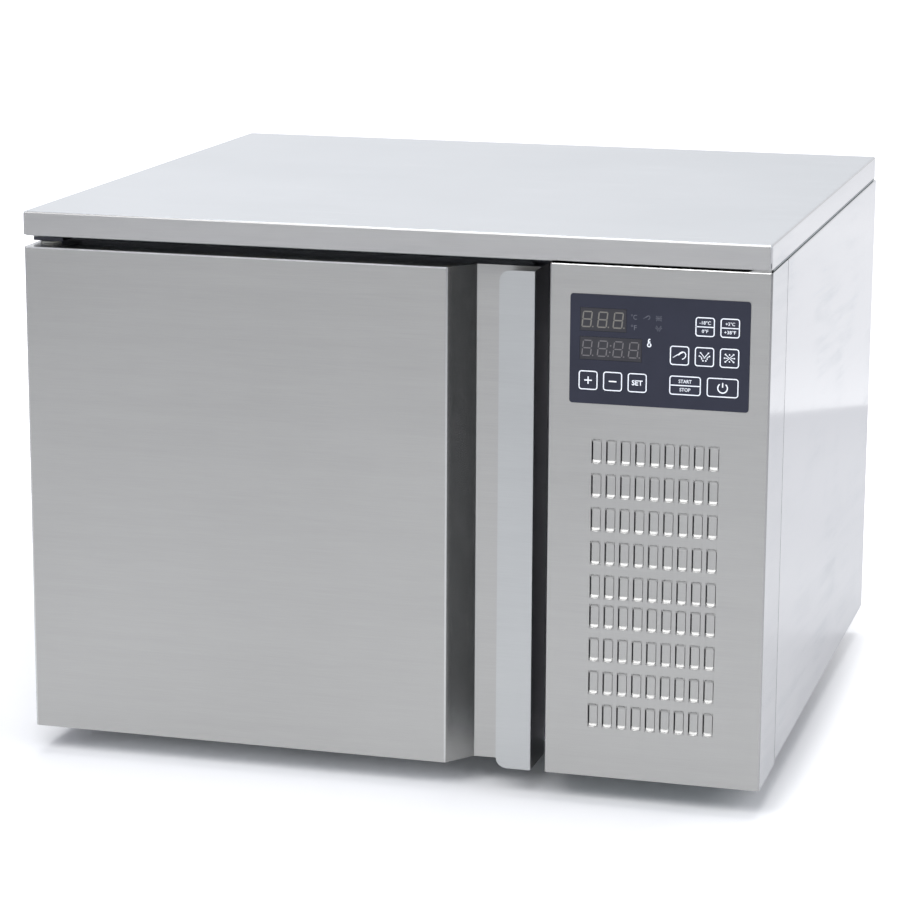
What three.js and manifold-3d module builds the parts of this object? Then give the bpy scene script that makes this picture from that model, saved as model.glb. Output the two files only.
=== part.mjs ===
// Countertop blast chiller: an insulated chamber with a hinged door on the left, a condensing unit behind a
// louvred service panel on the right, and a flat stainless worktop over both.
// Millimetres, +Z up, front towards -Y. The origin is the centre of the footprint, on the surface below.
import * as THREE from 'three';
import { mergeVertices } from 'three/addons/utils/BufferGeometryUtils.js';
import Module from 'manifold-3d';

const wasm = await Module();
wasm.setup();

// ---------------------------------------------------------------- driving dimensions

// Clearances
const FIT = 0.3; // between pieces that seat on each other
const GLUE = 0.1; // adhesive under the keypad film
const FAN_CLEARANCE = 3; // blade tip to its ring

// Cabinet
const BODY_W = 640; // over the side panels
const BODY_D = 584; // front panel face to rear edge
const BODY_H = 452; // underside of the panels to the worktop
const FOOT_H = 25;
const SHEET = 1; // stainless sheet
const BEND = 0.8; // inside radius of a fold
const FLANGE = 14; // width of a turned-in edge
const WORKTOP_H = 20;
const WORKTOP_INSET = 1; // worktop edge inside the side panels
const WORKTOP_CORNER = 3;
const DECK = 1.5; // sheet under the worktop
const DECK_SETBACK = 8; // deck edge behind the front face
const BASE = 1.5; // base pan sheet
const REAR_SETBACK = 16; // rear panel inside the rear edge
const PANEL_DROP = 1.5; // front panel below the side panels

// Service panel
const PANEL_W = 181.3;
const PANEL_WRAP = 74; // part of it that turns round the right side
const PANEL_SEAM = 0.5;
const WRAP_CORNER = 3.5;
const LOUVRE_COLS = 9;
const LOUVRE_ROWS = 9;
const LOUVRE_W = 8.3;
const LOUVRE_H = 20;
const LOUVRE_DEPTH = 4.5;
const LOUVRE_RAMP = 3.7;
const LOUVRE_PITCH_X = 12.07;
const LOUVRE_PITCH_Z = 28.35;
const LOUVRE_MID_PITCH = 25.3; // between the two louvre blocks
const LOUVRE_UPPER_ROWS = 5;
const LOUVRE_LEFT = 36.6; // from the panel's left edge
const LOUVRE_TOP = 286.7; // above the panel's lower edge
const LANCE_SLIT = 0.1; // each side of a pressed bridge

// Keypad, measured from the lower left corner of the film
const OVERLAY_W = 147.1;
const OVERLAY_H = 89.7;
const OVERLAY = 0.5; // film thickness
const OVERLAY_CORNER = 2.4;
const OVERLAY_LEFT = 17.4; // from the panel's left edge
const OVERLAY_BOTTOM = 316.4; // above the panel's lower edge
const OVERLAY_LAP = 5; // film on the panel round the cut-out
const KEY = 15.8;
const WIDE_KEY = 25.8;
const KEY_CORNER = 2.4;
const KEY_PROUD = 0.4;
const KEY_PLATE = 1.4;
const KEY_GAP = 0.2;
const KEY_STEM_R = 1.5;
const KEY_LEFT = 7.7; // first column of the left group
const KEY_RIGHT_GROUP = 82.4; // first column of the right group
const KEY_BOTTOM = 11.3;
const KEY_PITCH_X = 20.26;
const KEY_PITCH_Z = 24.3;
const DISPLAY_LEFT = 8.4;
const DISPLAY_H = 18.6;
const UPPER_DISPLAY_W = 37.8;
const UPPER_DISPLAY_BOTTOM = 59.9;
const LOWER_DISPLAY_W = 50.7;
const LOWER_DISPLAY_BOTTOM = 36.3;
const BOARD_DEPTH = 9; // panel face to the circuit board
const BOARD = 1.6;
const SWITCH = 6; // tact switch body, square
const SWITCH_H = 6;
const SWITCH_BORE = 3;

// Door, measured from its lower left front corner
const DOOR_INSET = 2; // door edge inside the left side panel
const DOOR_GAP = 12; // door to service panel
const DOOR_TOP_GAP = 10; // door to worktop
const DOOR_T = 48;
const CHANNEL_MOUTH = 74.2; // door's right edge to the fold of the finger channel
const CHANNEL_FLOOR = 55.2; // door's right edge to the foot of the slanted wall
const CHANNEL_D = 25;
const LIP_W = 30; // handle lip in the plane of the door face
const LIP_CORNER = 9;
const LINER_PLATE = 1.5;
const LINER_RISE = 5;
const LINER_MARGIN = 6; // flat rim outside the gasket
const LINER_LAP = 5; // inner panel on the skin's turned-in edge
const GASKET_W = 18;
const GASKET_LAP = 8; // outside the chamber mouth
const SEAL_GAP = 12; // back of the door to the chamber frame

// Hinges
const HINGE_IN = 12; // pin to the door's left edge
const HINGE_BACK = 30; // pin behind the door face
const PIN_R = 4;
const PIN_HEAD_R = 7;
const BUSH_R = 7;
const BUSH_FLANGE_R = 9;
const BUSH_FLANGE = 1.2;
const BUSH_L = 16;
const BRACKET = 3;
const BRACKET_W = 28;
const BRACKET_FRONT = 20; // behind the door face
const BRACKET_L = 100;
const BRACKET_RISE = 1; // top bracket above the bush flange

// Chamber
const FRAME_SHORT = 16.7; // door's right edge past the frame
const FRAME_D = 24;
const SIDE_WALL = 41.5; // chamber to each side of the frame
const REAR_WALL = 49.7; // chamber to the rear panel
const TOP_WALL = 42.6; // chamber to the top of the frame
const CHAMBER_BOTTOM = 46; // chamber floor above the panels' lower edge
const CHAMBER_CORNER = 12;
const MULLION_SETBACK = 14; // behind the frame face
const MULLION = 2;
const MULLION_LAP = 6; // behind the service panel's turned edge

// Inside the chamber
const RACK_LEVELS = 3;
const RACK_PITCH = 105;
const RACK_LOWEST = 30; // above the chamber floor
const RACK_FOOT = 6; // lower end of the uprights above the floor
const RACK_ROD = 3; // radius
const RACK_OFF_WALL = 9; // rod centre to the wall
const RACK_REACH = 14; // runner to the upright
const RACK_D = 290;
const RACK_FRONT = 30; // behind the chamber mouth
const COVER_T = 1.2;
const COVER_DEPTH = 104; // evaporator cover in front of the chamber's back wall
const COVER_SIDE_SLOT = 14;
const COVER_SLOT_MARGIN = 20; // slot ends inside the coil's height
const GUARD_RINGS = 4;
const GUARD_SPOKE = 8;
const GUARD_GAP = 10;
const GUARD_WIRE = 5;
const EVAP_FAN_R = 68;
const EVAP_SIDE = 27.5; // fins to each side wall of the chamber
const EVAP_D = 46;
const EVAP_H = 290;
const EVAP_FINS = 14;
const EVAP_MOTOR_R = 26;
const EVAP_MOTOR_L = 20;
const DRAIN_R = 9;
const DRAIN_FLANGE_R = 16;
const DRAIN_BACK = 90; // behind the chamber mouth
const GROMMET_R = 7;
const GROMMET_FLANGE_R = 11;
const GROMMET_H = 250; // above the chamber floor

// Condensing unit
const PARTITION = 1;
const COIL_PLATE = 2; // end plates of both coils
const COIL_LEG = 20; // end plates below the fins
const COIL_BENDS = 3; // return bends at each end
const COIL_FIN = 0.2; // part of the pitch that a fin fills
const COIL_SPINE = 0.2; // part of the depth that joins the fins
const SHAFT_R = 3;
const FAN_HUB_R = 20;
const FAN_DEPTH = 18;
const FAN_BLADES = 5;
const FAN_PITCH_ROOT = 0.6; // radians
const FAN_PITCH_TIP = 0.35;
const MOTOR_GAP = 3; // motor behind the fan hub
const MOTOR_POST_GAP = 5; // fan's ring to the axis of the motor's posts
const COND_W = 140;
const COND_D = 44;
const COND_H = 250;
const COND_FRONT = 22; // behind the panel face
const COND_FINS = 14;
const COND_FAN_R = 68;
const COND_FAN_FORWARD = 4; // into the ring
const COND_MOTOR_R = 30;
const COND_MOTOR_L = 38;
const SHROUD = 1.2;
const SHROUD_RING = 16;
const COMPRESSOR_R = 66;
const COMPRESSOR_H = 172;
const COMPRESSOR_REAR = 110; // axis in front of the rear panel
const COMPRESSOR_PLATE = 3;
const COMPRESSOR_PLATE_Z = 9; // on its rubber feet
const COMPRESSOR_FOOT_R = 9;
const STUB_ROOT = 36; // pipe stub's inner end, sideways and forward of the axis
const STUB_OUT = 56; // its outer end
const STUB_Z = 96;
const STUB_RISE = 28;
const TUBE_R = 4;
const DRIER_R = 11;
const DRIER_L = 110;
const DRIER_BACK = 70; // behind the shroud
const DRIER_RISE = 120; // middle above the coil's foot
const DRIER_NECK = 8;
const DRIER_TAPER = 10;
const SUCTION_IN = 14; // suction pipe to the evaporator's back
const SUCTION_DROP = 25; // suction pipe below the evaporator's top
const POWER_BOX_W = 70;
const POWER_BOX_D = 130;
const POWER_BOX_H = 100;
const POWER_BOX_BACK = 60; // behind the mullion
const POWER_BOX_DROP = 50; // below the top of the partition
const POWER_LID = 9;
const POWER_LID_LAP = 2;
const VENT_COLS = 2;
const VENT_ROWS = 9;
const VENT_W = 58;
const VENT_H = 6;
const VENT_PITCH_X = 76;
const VENT_PITCH_Z = 20;
const BASE_VENTS = 4;
const BASE_VENT_BACK = 100; // first vent of the base pan behind the shroud
const GLAND_R = 9;
const GLAND_L = 13; // behind the rear panel
const GLAND_DROP = 60; // below the top of the rear panel
const GLAND_NUT = 4; // width of the nut and the collar round the thread

// Feet
const FOOT_R = 18;
const FOOT_PAD = 9; // height of the pad's straight edge
const FOOT_NECK = 4; // shoulder inside the pad
const FOOT_STUD_R = 5;
const FOOT_SIDE = 50; // axis inside the side panel
const FOOT_FRONT = 122; // axis behind the front face
const FOOT_REAR = 52;

// ---------------------------------------------------------------- derived planes

const PROUD = GLUE + OVERLAY + KEY_PROUD; // keys in front of the panel face
const Y_FACE = -(BODY_D - PROUD) / 2;
const Y_EDGE = Y_FACE + BODY_D;
const Y_REAR = Y_EDGE - REAR_SETBACK; // outside of the rear panel
const X_LEFT = -BODY_W / 2;
const X_RIGHT = BODY_W / 2;
const Z_BODY = FOOT_H;
const Z_TOP = Z_BODY + BODY_H;
const Z_SKIRT = Z_TOP - WORKTOP_H;
const Z_DECK = Z_SKIRT - FIT - DECK;
const Z_PANEL_TOP = Z_DECK - FIT;
const Z_SIDE = Z_BODY + PANEL_DROP;
const Z_BASE = Z_SIDE + SHEET + FIT;
const Z_FLOOR = Z_BASE + BASE; // top of the base pan
const Z_CEILING = Z_PANEL_TOP - SHEET - FIT; // under the side panels' turned edges
const X_PANEL = X_RIGHT - PANEL_W;
const X_DOOR = X_LEFT + DOOR_INSET;
const DOOR_W = X_PANEL - DOOR_GAP - X_DOOR;
const DOOR_H = Z_SKIRT - DOOR_TOP_GAP - Z_BODY;
const Y_FRAME = Y_FACE + DOOR_T + SEAL_GAP;
const X_FRAME = X_DOOR + DOOR_W - FRAME_SHORT; // frame's right edge
const CHAMBER_X = (X_DOOR + X_FRAME) / 2;
const CHAMBER_X0 = X_DOOR + SIDE_WALL;
const CHAMBER_X1 = X_FRAME - SIDE_WALL;
const CHAMBER_Z0 = Z_BODY + CHAMBER_BOTTOM;
const CHAMBER_Z1 = Z_CEILING - TOP_WALL;
const Y_LINER = Y_FRAME + FRAME_D + FIT;
const Y_CHAMBER_BACK = Y_REAR - SHEET - REAR_WALL;
const Y_MULLION = Y_FRAME + MULLION_SETBACK;
const X_PARTITION = X_FRAME + FIT;
const HINGE_X = X_DOOR + HINGE_IN;
const HINGE_Y = Y_FACE + HINGE_BACK;
const Z_TOP_BRACKET = Z_BODY + DOOR_H + FIT + BUSH_FLANGE + BRACKET_RISE;
const Z_LOW_BRACKET = Z_BODY - FIT - BUSH_FLANGE - FIT - BRACKET; // its underside
const LOUVRE_FIELD_W = (LOUVRE_COLS - 1) * LOUVRE_PITCH_X + LOUVRE_W;
const FAN_X = X_PANEL + LOUVRE_LEFT + LOUVRE_FIELD_W / 2; // condenser on the louvre field
const COND_Z = Z_FLOOR + FIT;
const CONDENSER_CENTRE_Z = COND_Z + COND_H / 2;
const Y_COND = Y_FACE + COND_FRONT;
const Y_SHROUD = Y_COND + COND_D + FIT;
const COMPRESSOR_Y = Y_REAR - COMPRESSOR_REAR;
const Y_COVER = Y_CHAMBER_BACK - COVER_DEPTH;
const CHAMBER_Z = (CHAMBER_Z0 + CHAMBER_Z1) / 2;
const EVAP_W = CHAMBER_X1 - CHAMBER_X0 - 2 * EVAP_SIDE;
const EVAP_Y = Y_CHAMBER_BACK - FIT - EVAP_D;
const INNER_LEFT = X_LEFT + SHEET + FIT; // inside the left side panel
const BRACKET_X = INNER_LEFT;
const DRAIN_Y = Y_LINER + DRAIN_BACK;
const GROMMET_Y = Y_LINER + RACK_FRONT / 2;
const GROMMET_Z = CHAMBER_Z0 + GROMMET_H;
const SUCTION_Y = EVAP_Y + EVAP_D - SUCTION_IN;
const SUCTION_Z = CHAMBER_Z0 + EVAP_H - SUCTION_DROP;
const GLAND_Z = Z_CEILING - GLAND_DROP;
const DRIER_X = X_PARTITION + PARTITION + FIT + DRIER_R;
const DRIER_Y = Y_SHROUD + DRIER_BACK;
const DRIER_Z = COND_Z + DRIER_RISE;
const POWER_BOX_Y = Y_MULLION + POWER_BOX_BACK;
const POWER_BOX_Z = Z_CEILING - POWER_BOX_H - POWER_BOX_DROP;

// ---------------------------------------------------------------- finishes

const FINISHES = {
  brushed: { color: 0xb3b4b2, roughness: 0.38, metalness: 1 },
  polished: { color: 0xdfe2e5, roughness: 0.25, metalness: 1 },
  galvanised: { color: 0x9da2a4, roughness: 0.55, metalness: 0.9 },
  zinc: { color: 0xc2c4c0, roughness: 0.35, metalness: 1 },
  aluminium: { color: 0xc9cbcc, roughness: 0.4, metalness: 1 },
  copper: { color: 0xb87355, roughness: 0.35, metalness: 1 },
  shell: { color: 0x17181a, roughness: 0.5, metalness: 0.2 },
  darkPlastic: { color: 0x33363a, roughness: 0.6, metalness: 0 },
  film: { color: 0x3d3f4b, roughness: 0.45, metalness: 0 },
  lens: { color: 0x4a4344, roughness: 0.2, metalness: 0 },
  key: { color: 0x464956, roughness: 0.45, metalness: 0 },
  board: { color: 0x1e5a3a, roughness: 0.6, metalness: 0 },
  foam: { color: 0xd9c88f, roughness: 0.95, metalness: 0 },
  rubber: { color: 0x1b1c1d, roughness: 0.85, metalness: 0 },
  nylon: { color: 0xe6e6e2, roughness: 0.5, metalness: 0 },
  fan: { color: 0x222426, roughness: 0.5, metalness: 0 },
};

// ---------------------------------------------------------------- drawing

const ARC_GAP = 0.01; // flat between the two arcs of a round end

const POINT = (x, y) => new THREE.Vector2(x, y);

/** Points of an arc, both ends included. */
function arc(cx, cy, radius, from, to, steps) {
  const points = [];
  for (let i = 0; i <= steps; i += 1) {
    const angle = from + ((to - from) * i) / steps;
    points.push(POINT(cx + radius * Math.cos(angle), cy + radius * Math.sin(angle)));
  }
  return points;
}

function circle(cx, cy, radius, sides) {
  return arc(cx, cy, radius, 0, 2 * Math.PI, sides).slice(0, sides);
}

/** Rectangle with round corners, counter-clockwise. */
function roundedRect(x0, x1, y0, y1, radius, steps = 3) {
  const quarter = Math.PI / 2;
  return [
    ...arc(x1 - radius, y0 + radius, radius, -quarter, 0, steps),
    ...arc(x1 - radius, y1 - radius, radius, 0, quarter, steps),
    ...arc(x0 + radius, y1 - radius, radius, quarter, 2 * quarter, steps),
    ...arc(x0 + radius, y0 + radius, radius, 2 * quarter, 3 * quarter, steps),
  ];
}

function rect(x0, x1, y0, y1) {
  return [POINT(x0, y0), POINT(x1, y0), POINT(x1, y1), POINT(x0, y1)];
}

/** The outline with holes in it. */
function shapeOf(outline, holes = []) {
  const shape = new THREE.Shape(outline);
  holes.forEach((hole) => shape.holes.push(new THREE.Path(hole)));
  return shape;
}

/** The line moved to its left by a distance, corners mitred. */
function offsetLine(line, distance) {
  const normals = line.slice(1).map((point, i) => {
    const run = point.clone().sub(line[i]).normalize();
    return POINT(-run.y, run.x);
  });
  return line.map((point, i) => {
    const before = normals[Math.max(i - 1, 0)];
    const after = normals[Math.min(i, normals.length - 1)];
    const mitre = before.clone().add(after);
    return point.clone().addScaledVector(mitre, distance / (1 + before.dot(after)));
  });
}

/** Points along the line with each inner corner rounded; radii follow the direction of the turn. */
function roundCorners(line, leftRadius, rightRadius, steps) {
  return line.flatMap((corner, i) => {
    if (i === 0 || i === line.length - 1) return [corner.clone()];
    const into = corner.clone().sub(line[i - 1]).normalize();
    const out = line[i + 1].clone().sub(corner).normalize();
    const turn = Math.atan2(into.cross(out), into.dot(out));
    const side = Math.sign(turn);
    const radius = side > 0 ? leftRadius : rightRadius;
    const start = corner.clone().addScaledVector(into, -radius * Math.tan(Math.abs(turn) / 2));
    const centre = start.clone().add(POINT(-into.y, into.x).multiplyScalar(side * radius));
    const from = Math.atan2(start.y - centre.y, start.x - centre.x);
    return arc(centre.x, centre.y, radius, from, from + turn, steps);
  });
}

/** Outline of a folded sheet. The line is one face of the sheet, which lies on the line's left. */
function foldedSheet(line, thickness, steps = 2) {
  const face = roundCorners(line, BEND + thickness, BEND, steps);
  const back = roundCorners(offsetLine(line, thickness), BEND, BEND + thickness, steps);
  return [...face, ...back.reverse()];
}

// ---------------------------------------------------------------- solids

const X = new THREE.Vector3(1, 0, 0);
const Y = new THREE.Vector3(0, 1, 0);
const Z = new THREE.Vector3(0, 0, 1);

/** Section drawn in (y, z), (x, z) or (x, y), then swept along x, y or z. */
const SWEEP = {
  x: new THREE.Matrix4().makeBasis(Y, Z, X),
  y: new THREE.Matrix4().makeBasis(X, Z, Y.clone().negate()),
  z: new THREE.Matrix4(),
};

/** A closed geometry as a solid that can be joined and cut. */
function solidOf(geometry) {
  const bare = geometry.clone();
  bare.deleteAttribute('normal');
  bare.deleteAttribute('uv');
  const welded = mergeVertices(bare, 1e-4);
  return new wasm.Manifold(
    new wasm.Mesh({
      numProp: 3,
      vertProperties: new Float32Array(welded.attributes.position.array),
      triVerts: new Uint32Array(welded.index.array),
    }),
  );
}

/** A solid as a geometry. */
function geometryOf(solid) {
  const mesh = solid.getMesh();
  const geometry = new THREE.BufferGeometry();
  geometry.setAttribute('position', new THREE.BufferAttribute(mesh.vertProperties, 3));
  geometry.setIndex(new THREE.BufferAttribute(mesh.triVerts, 1));
  geometry.computeVertexNormals();
  return geometry;
}

/** Straight prism of a shape between two planes, its holes cut right through. */
function prism(axis, shape, from, to) {
  const outline = new THREE.Shape(shape.getPoints());
  const geometry = new THREE.ExtrudeGeometry(outline, { depth: to - from, bevelEnabled: false });
  geometry.translate(0, 0, axis === 'y' ? -to : from);
  geometry.applyMatrix4(SWEEP[axis]);
  const holes = shape.holes.map((hole) => (
    prism(axis, new THREE.Shape(hole.getPoints()), from - 1, to + 1)
  ));
  return holes.length > 0 ? solidOf(geometry).subtract(join(holes)) : solidOf(geometry);
}

function block(x0, x1, y0, y1, z0, z1) {
  const geometry = new THREE.BoxGeometry(x1 - x0, y1 - y0, z1 - z0);
  geometry.translate((x0 + x1) / 2, (y0 + y1) / 2, (z0 + z1) / 2);
  return solidOf(geometry);
}

/** Round bar along an axis; (a, b) is its centre in the section plane. */
function bar(axis, a, b, radius, from, to, sides = 12) {
  return prism(axis, shapeOf(circle(a, b, radius, sides)), from, to);
}

/** Body of revolution about z; the profile lists [radius, height] from the axis round to the axis. */
function turned(profile, sides = 12) {
  const geometry = new THREE.LatheGeometry(profile.map(([r, h]) => POINT(r, h)), sides);
  geometry.rotateX(Math.PI / 2);
  return solidOf(geometry);
}

/** Tube or rod along a smooth curve through the points. */
function rod(points, radius, sides, steps) {
  const path = points.map((p) => new THREE.Vector3(...p));
  const curve = new THREE.CatmullRomCurve3(path, false, 'catmullrom', 0.35);
  const section = shapeOf(circle(0, 0, radius, sides));
  return solidOf(new THREE.ExtrudeGeometry(section, { steps, extrudePath: curve, bevelEnabled: false }));
}

function join(solids) {
  return solids.reduce((whole, solid) => whole.add(solid));
}

function cut(solid, tools) {
  return tools.reduce((rest, tool) => rest.subtract(tool), solid);
}

/** A named piece with a material of its own. */
function piece(name, solid, finish, position = [0, 0, 0]) {
  const mesh = new THREE.Mesh(geometryOf(solid), new THREE.MeshStandardMaterial(FINISHES[finish]));
  mesh.name = name;
  mesh.position.set(...position);
  return mesh;
}

function groupOf(...meshes) {
  const group = new THREE.Group();
  group.add(...meshes);
  return group;
}

// ---------------------------------------------------------------- cabinet

/** Folded sheet tray with rounded edges, open underneath. */
function worktop() {
  const x = BODY_W / 2 - WORKTOP_INSET;
  const edge = BEND + SHEET;
  const outline = shapeOf(roundedRect(-x, x, Y_FACE, Y_EDGE, WORKTOP_CORNER));
  const bevel = { bevelThickness: edge, bevelSize: edge, bevelOffset: -edge, bevelSegments: 3 };
  const slab = new THREE.ExtrudeGeometry(outline, { depth: WORKTOP_H, bevelEnabled: true, ...bevel });
  slab.translate(0, 0, Z_TOP - WORKTOP_H - edge);
  const below = block(-BODY_W, BODY_W, -BODY_D, BODY_D, Z_SKIRT - WORKTOP_H, Z_SKIRT);
  const hollow = block(-x + SHEET, x - SHEET, Y_FACE + SHEET, Y_EDGE - SHEET, Z_SKIRT - 1, Z_TOP - SHEET);
  return piece('worktop', cut(solidOf(slab), [below, hollow]), 'polished');
}

function worktopCore() {
  const inset = WORKTOP_INSET + SHEET + FIT;
  const x = BODY_W / 2 - inset;
  const y = SHEET + FIT;
  const core = block(-x, x, Y_FACE + y, Y_EDGE - y, Z_SKIRT, Z_TOP - SHEET - FIT);
  return piece('worktop_core', core, 'foam');
}

function deckPlate() {
  const x = BODY_W / 2 - WORKTOP_INSET;
  const plate = block(-x, x, Y_FACE + DECK_SETBACK, Y_EDGE - DECK_SETBACK, Z_DECK, Z_DECK + DECK);
  return piece('deck_plate', plate, 'galvanised');
}

/** Side panel with its upper and lower edges turned in. */
function sidePanel(name, x, inwards, yFront) {
  const turn = [POINT(x + inwards * FLANGE, Z_PANEL_TOP), POINT(x, Z_PANEL_TOP), POINT(x, Z_SIDE)];
  const line = [...turn, POINT(x + inwards * FLANGE, Z_SIDE)];
  const section = foldedSheet(inwards > 0 ? line : line.reverse(), SHEET);
  return piece(name, prism('y', shapeOf(section), yFront, Y_EDGE), 'polished');
}

/** One louvre: a strip lanced on both sides and pressed inwards, seen from the side. */
function louvreStrip(zTop) {
  const y = Y_FACE;
  const zLow = zTop - LOUVRE_H;
  const front = [
    POINT(y, zTop),
    POINT(y + LOUVRE_DEPTH, zTop - LOUVRE_RAMP),
    POINT(y + LOUVRE_DEPTH, zLow + LOUVRE_RAMP),
    POINT(y, zLow),
  ];
  const lead = [POINT(y, zTop + SHEET), ...front, POINT(y, zLow - SHEET)];
  const back = offsetLine(lead, SHEET).slice(1, -1);
  return shapeOf([...front, ...back.reverse()]);
}

function louvreTop(row) {
  const step = row < LOUVRE_UPPER_ROWS ? 0 : LOUVRE_PITCH_Z - LOUVRE_MID_PITCH;
  return Z_BODY + LOUVRE_TOP - row * LOUVRE_PITCH_Z + step;
}

/** Front of the machine compartment: louvred, cut out behind the keypad and wrapped round the right side. */
function frontServicePanel() {
  const line = [
    POINT(X_PANEL, Y_MULLION - FIT),
    POINT(X_PANEL, Y_FACE),
    POINT(X_RIGHT, Y_FACE),
    POINT(X_RIGHT, Y_FACE + PANEL_WRAP),
  ];
  const sheet = prism('z', shapeOf(foldedSheet(line, SHEET, 3)), Z_BODY, Z_PANEL_TOP);
  const keypadX = X_PANEL + OVERLAY_LEFT;
  const keypadZ = Z_BODY + OVERLAY_BOTTOM;
  const window = block(
    keypadX + OVERLAY_LAP, keypadX + OVERLAY_W - OVERLAY_LAP,
    Y_FACE - 1, Y_FACE + SHEET + 1,
    keypadZ + OVERLAY_LAP, keypadZ + OVERLAY_H - OVERLAY_LAP,
  );
  const yWrap = Y_FACE + PANEL_WRAP;
  const corner = [
    POINT(yWrap + 1, Z_PANEL_TOP + 1),
    POINT(yWrap - WRAP_CORNER, Z_PANEL_TOP + 1),
    ...arc(yWrap - WRAP_CORNER, Z_PANEL_TOP - WRAP_CORNER, WRAP_CORNER, Math.PI / 2, 0, 4),
    POINT(yWrap + 1, Z_PANEL_TOP - WRAP_CORNER),
  ];
  const nick = prism('x', shapeOf(corner.reverse()), X_RIGHT - SHEET - 1, X_RIGHT + 1);
  const slots = [];
  const strips = [];
  for (let row = 0; row < LOUVRE_ROWS; row += 1) {
    const zTop = louvreTop(row);
    const strip = louvreStrip(zTop);
    for (let column = 0; column < LOUVRE_COLS; column += 1) {
      const x = X_PANEL + LOUVRE_LEFT + column * LOUVRE_PITCH_X;
      slots.push(rect(x, x + LOUVRE_W, zTop - LOUVRE_H, zTop));
      strips.push(prism('x', strip, x + LANCE_SLIT, x + LOUVRE_W - LANCE_SLIT));
    }
  }
  const punches = slots.map((slot) => prism('y', shapeOf(slot), Y_FACE - 1, Y_FACE + SHEET + 1));
  const pierced = sheet.subtract(join([window, nick, ...punches]));
  return piece('front_service_panel', pierced.add(join(strips)), 'brushed');
}

/** Rear panel: a pan with its sides turned back, slotted behind the condensing unit. */
function rearPanel() {
  const x = BODY_W / 2 - SHEET - FIT;
  const line = [
    POINT(-x, Y_REAR + FLANGE),
    POINT(-x, Y_REAR - SHEET),
    POINT(x, Y_REAR - SHEET),
    POINT(x, Y_REAR + FLANGE),
  ];
  const section = foldedSheet(line, SHEET);
  const pan = prism('z', shapeOf(section), Z_FLOOR + FIT, Z_CEILING);
  const vents = [];
  const fieldLeft = FAN_X - (VENT_PITCH_X * (VENT_COLS - 1) + VENT_W) / 2;
  for (let row = 0; row < VENT_ROWS; row += 1) {
    const z = CONDENSER_CENTRE_Z + (row - (VENT_ROWS - 1) / 2) * VENT_PITCH_Z;
    for (let column = 0; column < VENT_COLS; column += 1) {
      const xSlot = fieldLeft + column * VENT_PITCH_X;
      const slot = roundedRect(xSlot, xSlot + VENT_W, z - VENT_H / 2, z + VENT_H / 2, VENT_H / 2 - ARC_GAP, 1);
      vents.push(prism('y', shapeOf(slot), Y_REAR - SHEET - 1, Y_REAR + 1));
    }
  }
  const gland = bar('y', FAN_X, GLAND_Z, GLAND_R + FIT, Y_REAR - SHEET - 1, Y_REAR + 1);
  return piece('rear_panel', cut(pan, [join(vents), gland]), 'galvanised');
}

/** Base pan under the insulated body and the machine compartment, stepped at the front. */
function basePan() {
  const x = BODY_W / 2 - SHEET - FIT;
  const xStep = X_PANEL + SHEET + FIT;
  const outline = [
    POINT(-x, Y_FRAME),
    POINT(X_FRAME, Y_FRAME),
    POINT(X_FRAME, Y_MULLION),
    POINT(xStep, Y_MULLION),
    POINT(xStep, Y_FACE + SHEET + FIT),
    POINT(x, Y_FACE + SHEET + FIT),
    POINT(x, Y_EDGE - SHEET),
    POINT(-x, Y_EDGE - SHEET),
  ];
  const studs = footPlaces().map(([fx, fy]) => circle(fx, fy, FOOT_STUD_R + FIT, 12));
  const drain = circle(CHAMBER_X, DRAIN_Y, DRAIN_R + FIT, 12);
  const vents = [];
  for (let i = 0; i < BASE_VENTS; i += 1) {
    const y = Y_SHROUD + BASE_VENT_BACK + i * VENT_PITCH_Z;
    vents.push(roundedRect(FAN_X - VENT_W / 2, FAN_X + VENT_W / 2, y, y + VENT_H, VENT_H / 2 - ARC_GAP, 1));
  }
  const pan = prism('z', shapeOf(outline, [...studs, drain, ...vents]), Z_BASE, Z_FLOOR);
  return piece('base_pan', pan, 'galvanised');
}

function footPlaces() {
  const x = BODY_W / 2 - FOOT_SIDE;
  const front = Y_FACE + FOOT_FRONT;
  const rear = Y_EDGE - FOOT_REAR;
  return [[-x, front], [x, front], [-x, rear], [x, rear]];
}

/** Screw-in foot: rubber pad, shoulder under the pan, stud in the pan. */
function foot(name, [x, y]) {
  const shoulder = Z_BASE - FIT;
  const profile = [
    [0, 0],
    [FOOT_R - 2, 0],
    [FOOT_R, 2],
    [FOOT_R, FOOT_PAD],
    [FOOT_R - FOOT_NECK, FOOT_PAD + 3],
    [FOOT_R - FOOT_NECK, shoulder],
    [FOOT_STUD_R, shoulder],
    [FOOT_STUD_R, Z_FLOOR],
    [0, Z_FLOOR],
  ];
  return piece(name, turned(profile), 'rubber', [x, y, 0]);
}

/** Wall between the chamber's insulation and the condensing unit. */
function compartmentPartition() {
  const x = X_PARTITION;
  const line = [
    POINT(x + FLANGE, Z_CEILING),
    POINT(x, Z_CEILING),
    POINT(x, Z_FLOOR + FIT),
    POINT(x + FLANGE, Z_FLOOR + FIT),
  ];
  const yFront = Y_MULLION + MULLION + FIT;
  const wall = prism('y', shapeOf(foldedSheet(line, PARTITION)), yFront, Y_REAR - SHEET - FIT);
  const suction = bar('x', SUCTION_Y, SUCTION_Z, TUBE_R + FIT, x - 1, x + PARTITION + 1);
  const probe = bar('x', GROMMET_Y, GROMMET_Z, GROMMET_R + FIT, x - 1, x + PARTITION + 1);
  return piece('compartment_partition', cut(wall, [suction, probe]), 'galvanised');
}

/** Dark cover strip between the chamber frame and the service panel. */
function mullionCover() {
  const x0 = X_FRAME + FIT;
  const strip = block(
    x0, X_PANEL + MULLION_LAP, Y_MULLION, Y_MULLION + MULLION, Z_FLOOR + FIT, Z_CEILING,
  );
  return piece('mullion_cover', strip, 'darkPlastic');
}

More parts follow.
